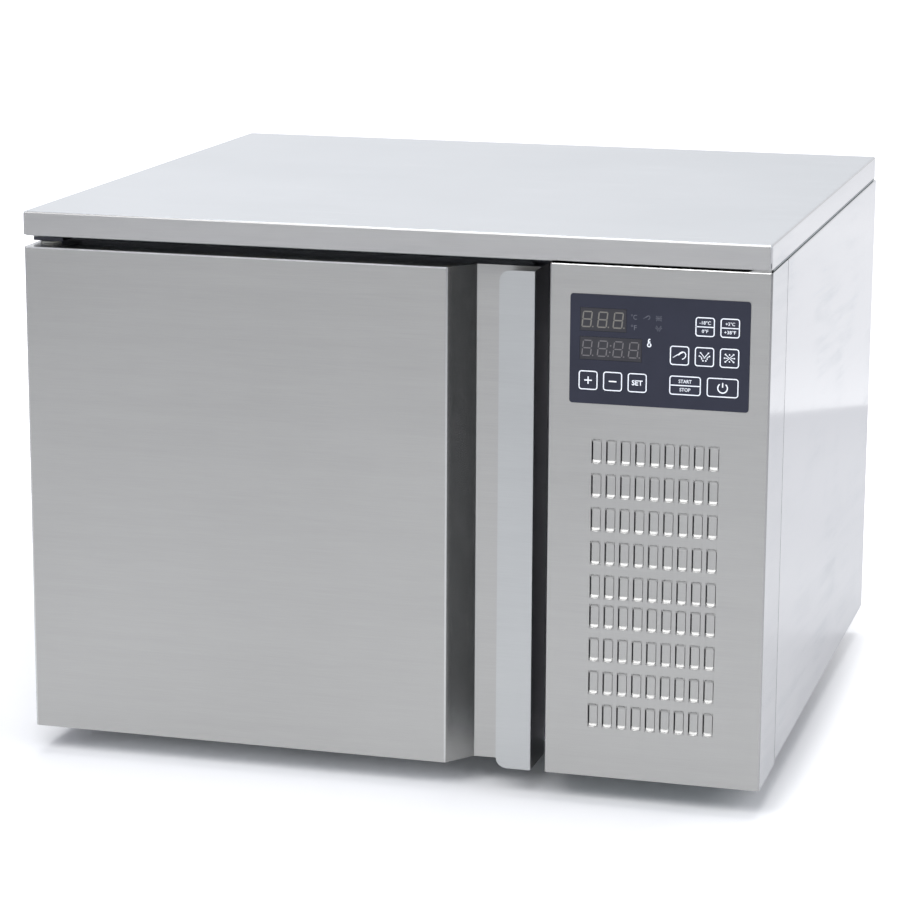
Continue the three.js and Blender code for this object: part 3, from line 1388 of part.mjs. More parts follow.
/** Keys: left edge, lower edge and width on the film. */
function keyPlaces() {
  const left = (n) => KEY_LEFT + n * KEY_PITCH_X;
  const right = (n) => KEY_RIGHT_GROUP + n * KEY_PITCH_X;
  const row = (n) => KEY_BOTTOM + n * KEY_PITCH_Z;
  const wideEnd = right(2) + KEY - WIDE_KEY;
  return {
    key_plus: [left(0), row(0), KEY],
    key_minus: [left(1), row(0), KEY],
    key_set: [left(2), row(0), KEY],
    key_start_stop: [right(0), row(0), WIDE_KEY],
    key_power: [wideEnd, row(0), WIDE_KEY],
    key_core_probe: [right(0), row(1), KEY],
    key_defrost: [right(1), row(1), KEY],
    key_hard_chill: [right(2), row(1), KEY],
    key_freeze: [right(1), row(2), KEY],
    key_chill: [right(2), row(2), KEY],
  };
}

function displayPlaces() {
  return {
    display_upper: [DISPLAY_LEFT, UPPER_DISPLAY_BOTTOM, UPPER_DISPLAY_W],
    display_lower: [DISPLAY_LEFT, LOWER_DISPLAY_BOTTOM, LOWER_DISPLAY_W],
  };
}

/** Film bonded to the panel, cut out round the keys and displays. Local y = 0 is the panel face. */
function controlOverlay() {
  const keyHoles = Object.values(keyPlaces()).map(([x, z, w]) => (
    roundedRect(x - KEY_GAP, x + w + KEY_GAP, z - KEY_GAP, z + KEY + KEY_GAP, KEY_CORNER + KEY_GAP, 2)
  ));
  const lensHoles = Object.values(displayPlaces()).map(([x, z, w]) => (
    rect(x - KEY_GAP, x + w + KEY_GAP, z - KEY_GAP, z + DISPLAY_H + KEY_GAP)
  ));
  const outline = roundedRect(0, OVERLAY_W, 0, OVERLAY_H, OVERLAY_CORNER);
  const film = prism('y', shapeOf(outline, [...keyHoles, ...lensHoles]), -GLUE - OVERLAY, -GLUE);
  return piece('control_overlay', film, 'film');
}

/** Key plate with the stem that presses its switch; the origin is the lower left corner of the plate. */
function key(name, [x, z, w]) {
  const back = -PROUD + KEY_PLATE;
  const outline = roundedRect(0, w, 0, KEY, KEY_CORNER, 2);
  const plate = prism('y', shapeOf(outline), -PROUD, back);
  const stem = bar('y', w / 2, KEY / 2, KEY_STEM_R, back - 0.2, BOARD_DEPTH - SWITCH_H + 2, 6);
  return piece(name, plate.add(stem), 'key', [x, 0, z]);
}

function display(name, [x, z, w]) {
  const back = BOARD_DEPTH - FIT;
  return piece(name, block(0, w, -GLUE - OVERLAY + 0.1, back, 0, DISPLAY_H), 'lens', [x, 0, z]);
}

/** Circuit board with a bored switch behind each key, on four posts from the panel. */
function controlBoard() {
  const edge = OVERLAY_LAP - 3;
  const board = block(edge, OVERLAY_W - edge, BOARD_DEPTH, BOARD_DEPTH + BOARD, edge, OVERLAY_H - edge);
  const switches = Object.values(keyPlaces()).map(([x, z, w]) => {
    const cx = x + w / 2;
    const cz = z + KEY / 2;
    const front = BOARD_DEPTH - SWITCH_H;
    const body = block(
      cx - SWITCH / 2, cx + SWITCH / 2, front, BOARD_DEPTH + 0.2, cz - SWITCH / 2, cz + SWITCH / 2,
    );
    return body.subtract(bar('y', cx, cz, KEY_STEM_R + FIT, front - 1, front + SWITCH_BORE, 6));
  });
  const margin = OVERLAY_LAP / 2 + 0.5;
  const posts = [margin, OVERLAY_W - margin].flatMap((x) => (
    [margin, OVERLAY_H - margin].map((z) => bar('y', x, z, 1.8, SHEET + FIT, BOARD_DEPTH + 0.2, 6))
  ));
  return piece('control_board', join([board, ...switches, ...posts]), 'board');
}

function keypad() {
  const group = groupOf(
    controlOverlay(),
    controlBoard(),
    ...Object.entries(keyPlaces()).map(([name, place]) => key(name, place)),
    ...Object.entries(displayPlaces()).map(([name, place]) => display(name, place)),
  );
  group.position.set(X_PANEL + OVERLAY_LEFT, Y_FACE, Z_BODY + OVERLAY_BOTTOM);
  return group;
}

// ---------------------------------------------------------------- the whole

const blastChiller = groupOf(cabinet(), hinges(), door(), chamber(), condensingUnit(), keypad());
blastChiller.name = 'blast_chiller';

export default blastChiller;
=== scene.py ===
"""Countertop blast chiller, dressed for rendering on its CAD frame.

The CAD nodes keep their shapes and get procedural finishes, and on some faces copies of a finish in lighter
or darker tones paint light and shade. What the frame leaves to rendering is built
here in mesh code: the louvred panel with its folds, the grooved mullion cover, the bellows of the gasket, the
printed symbols and digit segments of the keypad, the screws at the rear, and a dark sheet behind the rear
vents that paints shade. Lengths are in metres, unless a name ends in _mm. The front of the machine faces -Y
and +Z is up.
"""
import logging
import math
from dataclasses import dataclass, field
from enum import Enum
from typing import Any, Sequence

import bmesh
import bpy
from mathutils import Matrix, Vector


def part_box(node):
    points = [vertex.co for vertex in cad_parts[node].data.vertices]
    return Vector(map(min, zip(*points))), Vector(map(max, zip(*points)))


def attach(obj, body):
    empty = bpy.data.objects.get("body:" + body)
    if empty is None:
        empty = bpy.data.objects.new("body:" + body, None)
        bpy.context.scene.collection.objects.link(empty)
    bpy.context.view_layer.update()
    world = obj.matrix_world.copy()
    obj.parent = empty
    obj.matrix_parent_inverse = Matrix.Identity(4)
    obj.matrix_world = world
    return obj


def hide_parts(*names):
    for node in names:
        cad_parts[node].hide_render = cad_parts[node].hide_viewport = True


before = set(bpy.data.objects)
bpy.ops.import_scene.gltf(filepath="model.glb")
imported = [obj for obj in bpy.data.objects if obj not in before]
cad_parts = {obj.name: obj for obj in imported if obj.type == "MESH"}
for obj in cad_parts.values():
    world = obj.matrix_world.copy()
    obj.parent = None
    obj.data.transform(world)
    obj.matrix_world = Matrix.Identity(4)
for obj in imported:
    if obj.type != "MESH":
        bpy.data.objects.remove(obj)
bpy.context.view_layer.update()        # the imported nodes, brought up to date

logging.basicConfig(level=logging.INFO, format="%(name)s: %(message)s")
LOG = logging.getLogger("blast_chiller")

MM = 0.001
SINK = 0.01 * MM  # how far a print or digit reaches into the surface that carries it
SMOOTH_FOLD = math.radians(38)  # sharpest fold that is still shaded smooth
FOLD_COSINE = 0.7  # faces that turn by more than this, about 45 degrees, meet in a fold of the sheet
LEAST_MITRE = 0.35  # blunts the corners of a printed line that turns sharply
Point2 = tuple[float, float]
Point3 = tuple[float, float, float]


# ---------------------------------------------------------------- colour and nodes

def linear(code: str) -> tuple[float, ...]:
    """Turns an sRGB hex colour into linear light.

    Args:
        code: six hex digits after a hash sign.

    Returns:
        Red, green and blue in linear light, and an alpha of 1.
    """
    parts = [int(code[i:i + 2], 16) / 255 for i in (1, 3, 5)]
    return (*(p / 12.92 if p <= 0.04045 else ((p + 0.055) / 1.055) ** 2.4 for p in parts), 1.0)


@dataclass
class NodeWork:
    """Nodes under construction, of a material or of the world."""

    tree: bpy.types.NodeTree = field(init=False)

    def begin(self, owner: bpy.types.Material | bpy.types.World) -> None:
        """Starts on an empty node tree.

        Args:
            owner: the material or world that it belongs to.
        """
        owner.use_nodes = True
        self.tree = owner.node_tree
        self.tree.nodes.clear()

    def add(self, kind: str, *inputs: Any, **named: Any) -> bpy.types.NodeSocket | None:
        """Adds a node with its settings, and fills or links its inputs.

        Args:
            kind: the node's type, without its prefix.
            *inputs: value, hex colour or output for each input in use, in order; None leaves one as it is.
            **named: settings of the node, in small letters, and inputs by name, which start with a capital.

        Returns:
            The node's first output in use, where it has one.
        """
        node = self.tree.nodes.new(f"ShaderNode{kind}")
        filled = []
        for name, value in named.items():
            if name[0].isupper():
                filled.append((node.inputs[name.replace("_", " ")], value))
            else:
                setattr(node, name, value)
        filled += zip([socket for socket in node.inputs if socket.enabled], inputs)
        for socket, value in filled:
            if isinstance(value, bpy.types.NodeSocket):
                self.tree.links.new(value, socket)
            elif value is not None:
                socket.default_value = linear(value) if isinstance(value, str) else value
        return next((socket for socket in node.outputs if socket.enabled), None)


@dataclass
class Finish(NodeWork):
    """A finish in two tones, and the material that is made from it."""

    name: str
    colour: str
    shade: str
    roughness: float = 0.5
    material: bpy.types.Material | None = field(default=None, init=False)

    def make(self) -> bpy.types.Material:
        """Builds the material when it is first asked for.

        Returns:
            The material.
        """
        if self.material is None:
            self.material = bpy.data.materials.new(self.name)
            self.begin(self.material)
            self.paint()
        return self.material

    def paint(self) -> None:
        """Lays the nodes; each finish has its own way."""

    def scaled(self, *pitch_mm: float, turn: float = 0.0) -> bpy.types.NodeSocket:
        """Object coordinates in which one unit is a real size.

        Args:
            *pitch_mm: the size along x, y and z, or one size for all three.
            turn: rotation of the pattern about x, in radians.

        Returns:
            The coordinates.
        """
        size = [pitch * MM for pitch in pitch_mm] * (3 // len(pitch_mm))
        place = self.add("TexCoord").node.outputs["Object"]
        return self.add("Mapping", place, None, (-turn, 0.0, 0.0), size, vector_type="TEXTURE")

    def surface(self, tones: tuple[Any, str, str], relief: tuple[Any, float] | None = None,
                polish: tuple[Any, float, float] | None = None, **sockets: Any) -> None:
        """Adds the surface shader with its inputs, and the output.

        Args:
            tones: a pattern, the colour where it is 0 and the colour where it is 1.
            relief: a height pattern from 0 to 1, and its real depth in millimetres.
            polish: a pattern, and what it adds to the roughness where it is low and where it is high.
            **sockets: further inputs of the shader.
        """
        sockets = {"Roughness": self.roughness, **sockets}
        sockets["Base_Color"] = self.add("Mix", *tones, data_type="RGBA")
        if relief:
            sockets["Normal"] = self.add("Bump", 1.0, relief[1] * MM, None, relief[0])
        if polish:
            low, high = (self.roughness + change for change in polish[1:])
            sockets["Roughness"] = self.add("MapRange", polish[0], 0.3, 0.7, low, high)
        self.add("OutputMaterial", self.add("BsdfPrincipled", **sockets))


# ---------------------------------------------------------------- finishes

@dataclass
class BrushedStainless(Finish):
    """Austenitic stainless sheet, belt-ground to about 180 grit.

    The eye sees a soft warm grey with hair-fine lines along the belt. Reflections stay crisp along the lines
    and smear out across them. Real scratches are about 0.05 mm apart; they are drawn 0.35 mm apart here, or
    they would not show.
    """

    colour: str = "#A1A1A0"
    shade: str = "#999998"
    roughness: float = 0.33
    smear: float = 0.7
    tangent_axis: str = "Z"
    scratch_mm: float = 0.35
    relief_mm: float = 0.0006

    def paint(self) -> None:
        """Lays the belt's lines in bands and clouds."""
        fine = self.add("TexNoise", self.scaled(38.0, self.scratch_mm, self.scratch_mm), 1.0, 3.0, 0.6)
        lines = self.add("Mix", 0.25, fine, self.add("TexNoise", self.scaled(220.0, 7.0, 7.0), 1.0))
        cloudy = self.add("Mix", 0.25, lines, self.add("TexNoise", self.scaled(170.0), 1.0))
        tone = self.add("MapRange", cloudy, 0.34, 0.66, 0.0, 1.0)
        tangent = self.add("Tangent", direction_type="RADIAL", axis=self.tangent_axis)
        self.surface((tone, self.shade, self.colour), (lines, self.relief_mm), (lines, -0.03, 0.04),
                     Metallic=1.0, Anisotropic=self.smear, Anisotropic_Rotation=0.25, Tangent=tangent)


@dataclass
class FoldHighlight(Finish):
    """Outside of a fold in stainless sheet: a copy of the steel in a tone of its own, without the lines of
    the belt.

    Its colour is a painted highlight, a thin line along the fold in a tone set for each fold.
    """

    colour: str = "#F0F0F0"
    shade: str = "#E4E4E4"
    roughness: float = 0.16

    def paint(self) -> None:
        """Lays random patches of tone in the painted highlight."""
        blotch = self.add("TexNoise", self.scaled(6.0), 1.0)
        self.surface((blotch, self.shade, self.colour), None, (blotch, -0.04, 0.06), Metallic=1.0)


@dataclass
class MirrorStainless(Finish):
    """Bright-annealed stainless sheet: nearly a mirror, wiped by hand.

    The eye sees the room in it, softened, with level wipe marks where a cloth left a thin film of grease.
    """

    colour: str = "#D2D2D3"
    shade: str = "#C5C7C9"
    roughness: float = 0.07
    film: float = 0.08
    wipe_mm: float = 13.0

    def paint(self) -> None:
        """Lays the film of grease in wipe marks, over the lines of the roll."""
        roll = self.add("TexNoise", self.scaled(2.0, 150.0, 2.0), 1.0)
        wipe = self.add("TexNoise", self.scaled(self.wipe_mm, self.wipe_mm * 11, self.wipe_mm, turn=0.06),
                        1.0, 3.0, 0.55)
        patch = self.add("TexNoise", self.scaled(140.0), 1.0)
        veil = self.add("Math", self.add("MapRange", wipe, 0.4, 0.66, 0.0, 1.0),
                        self.add("MapRange", patch, 0.4, 0.65, 0.0, 1.0), operation="MULTIPLY")
        sheet = self.add("MapRange", roll, 0.3, 0.7, self.roughness - 0.01, self.roughness + 0.02)
        self.surface((veil, self.colour, self.shade), (patch, 0.03), Metallic=1.0,
                     Roughness=self.add("Math", veil, self.film, sheet, operation="MULTIPLY_ADD"))


@dataclass
class CoatedSteel(Finish):
    """Galvanised or zinc-plated sheet: a pale metal with a faint crystal spangle.

    The eye sees matt grey flakes a few millimetres wide, each a little lighter or darker than the next.
    """

    spangle_mm: float = 7.0

    def paint(self) -> None:
        """Lays the flakes under soft clouds."""
        flake = self.add("TexVoronoi", self.scaled(self.spangle_mm), 1.0)
        tone = self.add("SeparateColor", flake.node.outputs["Color"])
        cloud = self.add("TexNoise", self.scaled(60.0), 1.0, 3.0)
        mixed = self.add("Mix", 0.5, tone, cloud)
        self.surface((mixed, self.shade, self.colour), (cloud, 0.01), (mixed, -0.08, 0.08), Metallic=1.0)


@dataclass
class DrawnMetal(Finish):
    """Drawn or rolled bare metal, such as copper tube, aluminium fins or a ground pin.

    The eye sees a satin metal with lengthwise draw marks and patches of light tarnish, which is the shade.
    """

    roughness: float = 0.3
    patch_mm: float = 18.0

    def paint(self) -> None:
        """Lays the tarnish and the draw marks."""
        patch = self.add("TexNoise", self.scaled(self.patch_mm), 1.0, 4.0, 0.6)
        tarnish = self.add("MapRange", patch, 0.42, 0.72, 0.0, 1.0)
        marks = self.add("TexNoise", self.scaled(0.6, 0.6, 20.0), 1.0)
        self.surface((tarnish, self.colour, self.shade), (marks, 0.003), (patch, -0.06, 0.16), Metallic=1.0)


@dataclass
class MouldedPolymer(Finish):
    """Injection-moulded or extruded polymer with the fine texture of its tool.

    The eye sees an even colour, a soft sheen and a faint grain, greyer where dust and hands have dulled it.
    """

    texture_mm: float = 0.6
    relief_mm: float = 0.02
    ior: float = 1.5
    sheen: float = 0.0

    def paint(self) -> None:
        """Lays the tool's grain and the wear."""
        grain = self.add("TexNoise", self.scaled(self.texture_mm), 1.0)
        wear = self.add("TexNoise", self.scaled(35.0), 1.0, 4.0, 0.6)
        dulled = self.add("MapRange", wear, 0.45, 0.75, 0.0, 0.7)
        self.surface((dulled, self.colour, self.shade), (grain, self.relief_mm), (wear, -0.06, 0.1),
                     IOR=self.ior, Sheen_Weight=self.sheen)


@dataclass
class PolyurethaneFoam(Finish):
    """Poured rigid polyurethane foam with a closed skin.

    The eye sees a buff, dusty body pitted with cells about half a millimetre wide, drawn at 1.5 mm to show.
    """

    colour: str = "#D8C68C"
    shade: str = "#B79E5F"
    roughness: float = 0.95
    cell_mm: float = 1.5

    def paint(self) -> None:
        """Lays the cells, which are the shade at their middles."""
        cells = self.add("TexVoronoi", self.scaled(self.cell_mm), 1.0, feature="SMOOTH_F1")
        tone = self.add("MapRange", cells, 0.1, 0.8, 0.0, 1.0)
        self.surface((tone, self.shade, self.colour), (cells, 0.25))


@dataclass
class GlassFibreBoard(Finish):
    """Glass-fibre epoxy circuit board under green solder mask.

    The eye sees a satin green with the weave of the glass cloth just showing through, 0.5 mm a thread.
    """

    roughness: float = 0.38
    thread_mm: float = 0.5

    def paint(self) -> None:
        """Lays the weave under the mask."""
        weave = self.add("TexChecker", self.scaled(self.thread_mm), Scale=1.0).node.outputs["Fac"]
        cloud = self.add("Math", self.add("TexNoise", self.scaled(30.0), 1.0), 0.9, operation="MULTIPLY")
        self.surface((cloud, self.shade, self.colour), (weave, 0.01), Coat_Weight=0.3, Coat_Roughness=0.2)


@dataclass
class PolyesterFilm(Finish):
    """Second-surface printed polyester film with a fine matt hard coat.

    The eye sees one even slate tone with hardly a reflection. The coat's texture is about 0.1 mm, drawn at
    0.4 mm.
    """

    roughness: float = 0.42

    def paint(self) -> None:
        """Lays the hard coat over the printed colour."""
        grain = self.add("TexNoise", self.scaled(0.4), 1.0)
        cloud = self.add("MapRange", self.add("TexNoise", self.scaled(40.0), 1.0), 0.3, 0.7, 0.0, 1.0)
        self.surface((cloud, self.shade, self.colour), (grain, 0.004), (grain, -0.04, 0.06),
                     IOR=1.57, Specular_IOR_Level=0.12)


@dataclass
class ScreenInk(Finish):
    """Screen-printed ink, a few hundredths of a millimetre thick.

    The eye sees a crisp flat tone with a faint unevenness where the mesh of the screen laid it down.
    """

    def paint(self) -> None:
        """Lays the marks of the mesh."""
        mesh = self.add("TexNoise", self.scaled(0.3), 1.0, 1.0)
        self.surface((mesh, self.shade, self.colour), (mesh, 0.003))


# ---------------------------------------------------------------- mesh work

def rounded_rect(width: float, height: float, radius: float, steps: int = 5) -> list[Point2]:
    """Outline of a rectangle with round corners about (0, 0), counter-clockwise.

    Args:
        width: full width.
        height: full height.
        radius: corner radius.
        steps: chords in each corner.

    Returns:
        The outline.
    """
    points = []
    for corner, (sx, sy) in enumerate(((1, -1), (1, 1), (-1, 1), (-1, -1))):
        centre = (sx * (width / 2 - radius), sy * (height / 2 - radius))
        points += arc_points(centre, radius, 90 * (corner - 1), 90 * corner, steps)
    return points


def arc_points(centre: Point2, radius: float, start: float, end: float, steps: int) -> list[Point2]:
    """Points along an arc, both ends included; angles in degrees."""
    angles = [math.radians(start + (end - start) * i / steps) for i in range(steps + 1)]
    return [(centre[0] + radius * math.cos(a), centre[1] + radius * math.sin(a)) for a in angles]


def round_dot(centre: Point2, radius: float) -> list[Point2]:
    """Outline of a small round dot."""
    return arc_points(centre, radius, 0, 330, 11)


def stroke(path: Sequence[Point2], width: float, closed: bool = False) -> list[Point2]:
    """Outline of a line of even width along a path.

    Args:
        path: points of the middle of the line.
        width: width of the line.
        closed: whether the path returns to its first point; the outline is then cut open at that point.

    Returns:
        The outline of the line.
    """
    points = [Vector(p) for p in path]
    if closed:
        points.append(points[0])
    last = len(points) - 1
    left, right = [], []
    for i, point in enumerate(points):
        if closed and i in (0, last):
            before, after = points[1] - points[0], points[0] - points[-2]
        else:
            before = points[min(i + 1, last)] - points[min(i, last - 1)]
            after = points[max(i, 1)] - points[max(i - 1, 0)]
        side, other = (Vector((-way.y, way.x)).normalized() for way in (before, after))
        mitre = (side + other).normalized()
        reach = width / 2 / max(mitre.dot(side), LEAST_MITRE)
        left.append(tuple(point + mitre * reach))
        right.append(tuple(point - mitre * reach))
    return left + right[::-1]


class Plane(Enum):
    """Plane in which an outline is drawn, with the direction in which it is raised."""

    FRONT = Matrix(((1, 0, 0), (0, 0, -1), (0, 1, 0)))  # (x, z), raised towards the viewer at -Y
    BACK = Matrix(((-1, 0, 0), (0, 0, 1), (0, 1, 0)))  # (-x, z), raised towards +Y
    TOP = Matrix(((1, 0, 0), (0, 1, 0), (0, 0, 1)))  # (x, y), raised towards +Z


def add_object(name: str, data: bpy.types.ID) -> bpy.types.Object:
    """Adds an object to the scene.

    Args:
        name: its name.
        data: its mesh, curve, lamp or camera.

    Returns:
        The object.
    """
    thing = bpy.data.objects.new(name, data)
    bpy.context.scene.collection.objects.link(thing)
    return thing


@dataclass
class Body:
    """A mesh under construction, in frame coordinates, and the piece made from it."""

    name: str
    mesh: bmesh.types.BMesh = field(default_factory=bmesh.new)

    def face(self, corners: Sequence[Sequence[float]]) -> None:
        """Adds a face with corners of its own."""
        self.mesh.faces.new([self.mesh.verts.new(corner) for corner in corners])

    def join(self, rings: Sequence[Sequence[bmesh.types.BMVert]], closed: bool = True) -> None:
        """Joins each ring of points to the next with faces.

        Args:
            rings: rings of as many points each.
            closed: whether a ring returns to its first point.
        """
        for here, there in zip(rings, rings[1:]):
            for i in range(len(here) - (not closed)):
                j = (i + 1) % len(here)
                self.mesh.faces.new((here[i], here[j], there[j], there[i]))

    def slab(self, outline: Sequence[Point2], low: float, high: float, plane: Plane,
             origin: Point3 = (0.0, 0.0, 0.0), finish: int = 0) -> None:
        """Adds a prism.

        Args:
            outline: its section, in either direction.
            low: start of the prism along the plane's normal, from the origin.
            high: end of the prism.
            plane: where the section lies.
            origin: frame position of the section's (0, 0).
            finish: index of the material.
        """
        before = len(self.mesh.faces)
        rings = [[self.mesh.verts.new(plane.value @ Vector((u, v, level)) + Vector(origin))
                  for u, v in outline] for level in (low, high)]
        self.mesh.faces.new(rings[0][::-1])
        self.mesh.faces.new(rings[1])
        self.join(rings)
        self.mesh.faces.ensure_lookup_table()
        for face in self.mesh.faces[before:]:
            face.material_index = finish

    def lathe(self, profile: Sequence[Point2], plane: Plane, origin: Point3, sides: int = 20) -> None:
        """Adds a body of revolution about the plane's normal.

        Args:
            profile: (radius, height) points from the axis round to the axis.
            plane: plane of its base.
            origin: frame position of the base's centre.
            sides: facets round the axis.
        """
        rings = []
        for radius, height in profile:
            angles = [2 * math.pi * i / sides for i in range(sides if radius else 1)]
            rings.append([self.mesh.verts.new(plane.value @ Vector(
                (radius * math.cos(a), radius * math.sin(a), height)) + Vector(origin)) for a in angles])
        for low, high in zip(rings, rings[1:]):
            for i in range(sides):
                j = (i + 1) % sides
                corners = [low[i % len(low)], low[j % len(low)], high[j % len(high)], high[i % len(high)]]
                self.mesh.faces.new(list(dict.fromkeys(corners)))

    def finish(self, body: str, slot: str, *finishes: Finish) -> bpy.types.Object:
        """Turns the mesh into a piece that rides on a body.

        Args:
            body: CAD body that carries it.
            slot: material slot of the record; not used.
            *finishes: its finishes, in the order of their indices.

        Returns:
            The piece.
        """
        bmesh.ops.recalc_face_normals(self.mesh, faces=self.mesh.faces)
        data = bpy.data.meshes.new(self.name)
        self.mesh.to_mesh(data)
        self.mesh.free()
        data.shade_smooth()
        data.set_sharp_from_angle(angle=SMOOTH_FOLD)
        for finish in finishes:
            data.materials.append(finish.make())
        piece = add_object(self.name, data)
        weighted = piece.modifiers.new("flat faces stay flat", "WEIGHTED_NORMAL")
        weighted.keep_sharp, weighted.weight = True, 100
        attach(piece, body)
        LOG.info("built %s on %s: %d faces", self.name, body, len(data.polygons))
        return piece


def dress(finish: Finish, *nodes: str) -> None:
    """Gives CAD nodes a finish and joins their facets, so that curved parts shade smoothly.

    Args:
        finish: the finish.
        *nodes: names of the nodes.
    """
    for name in nodes:
        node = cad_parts[name]
        node.data.materials.clear()
        node.data.materials.append(finish.make())
        node.data.shade_smooth()
        node.modifiers.new("joined facets", "WELD").merge_threshold = 0.002 * MM
        node.modifiers.new("sharp edges", "EDGE_SPLIT").split_angle = SMOOTH_FOLD
        node.modifiers.new("flat faces stay flat", "WEIGHTED_NORMAL").keep_sharp = True
        LOG.info("dressed %s in %s", name, finish.name)


def dress_faces(node_name: str, finish: Finish, *faces: bpy.types.MeshPolygon) -> int:
    """Gives some faces of a dressed node a finish of their own.

    Args:
        node_name: the node.
        finish: the finish.
        *faces: the faces.

    Returns:
        The index of the finish on the node.
    """
    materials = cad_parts[node_name].data.materials
    materials.append(finish.make())
    for face in faces:
        face.material_index = len(materials) - 1
    return len(materials) - 1


def add_bevel(piece: bpy.types.Object, name: str, limit: str, radius: float, segments: int,
              order: int) -> bpy.types.BevelModifier:
    """Adds a bevel modifier that doesn't narrow where edges meet.

    Args:
        piece: the piece.
        name: the modifier's name.
        limit: which edges it rounds, ANGLE or WEIGHT.
        radius: radius of the rounded edges.
        segments: chords across each edge.
        order: its place among the modifiers.

    Returns:
        The modifier.
    """
    bevel = piece.modifiers.new(name, "BEVEL")
    bevel.width, bevel.segments, bevel.limit_method, bevel.use_clamp_overlap = radius, segments, limit, False
    piece.modifiers.move(len(piece.modifiers) - 1, order)
    return bevel


def round_folds(node_name: str, radius: float, finish: int, low: Point2, high: Point2) -> None:
    """Rounds the folds at the front plane of a dressed node, so that they catch light as folded sheet does.

    Args:
        node_name: the node.
        radius: outer radius of the folds.
        finish: index of the folds' finish on the node; its colour paints their highlight.
        low: lowest x and z of the folds.
        high: highest x and z of the folds.
    """
    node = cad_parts[node_name]
    data = node.data
    places = [tuple(round(c, 6) for c in vertex.co) for vertex in data.vertices]
    front = min(place[1] for place in places) + 0.05 * MM
    normals: dict[frozenset[Point3], list[Vector]] = {}
    for face in data.polygons:
        for ends in face.edge_keys:
            normals.setdefault(frozenset(places[i] for i in ends), []).append(face.normal)
    weights = data.attributes.new("bevel_weight_edge", "FLOAT", "EDGE").data
    folds = 0
    for edge in data.edges:
        ends = [places[i] for i in edge.vertices]
        sides = normals[frozenset(ends)]
        at_front = all(y < front and low[0] < x < high[0] and low[1] < z < high[1] for x, y, z in ends)
        if at_front and len(sides) == 2 and sides[0].dot(sides[1]) < FOLD_COSINE:
            weights[edge.index].value = 1.0
            folds += 1
    add_bevel(node, "rounded folds", "WEIGHT", radius, 3, 1).material = finish
    LOG.info("rounded %d fold edges of %s", folds, node_name)


# ---------------------------------------------------------------- cabinet

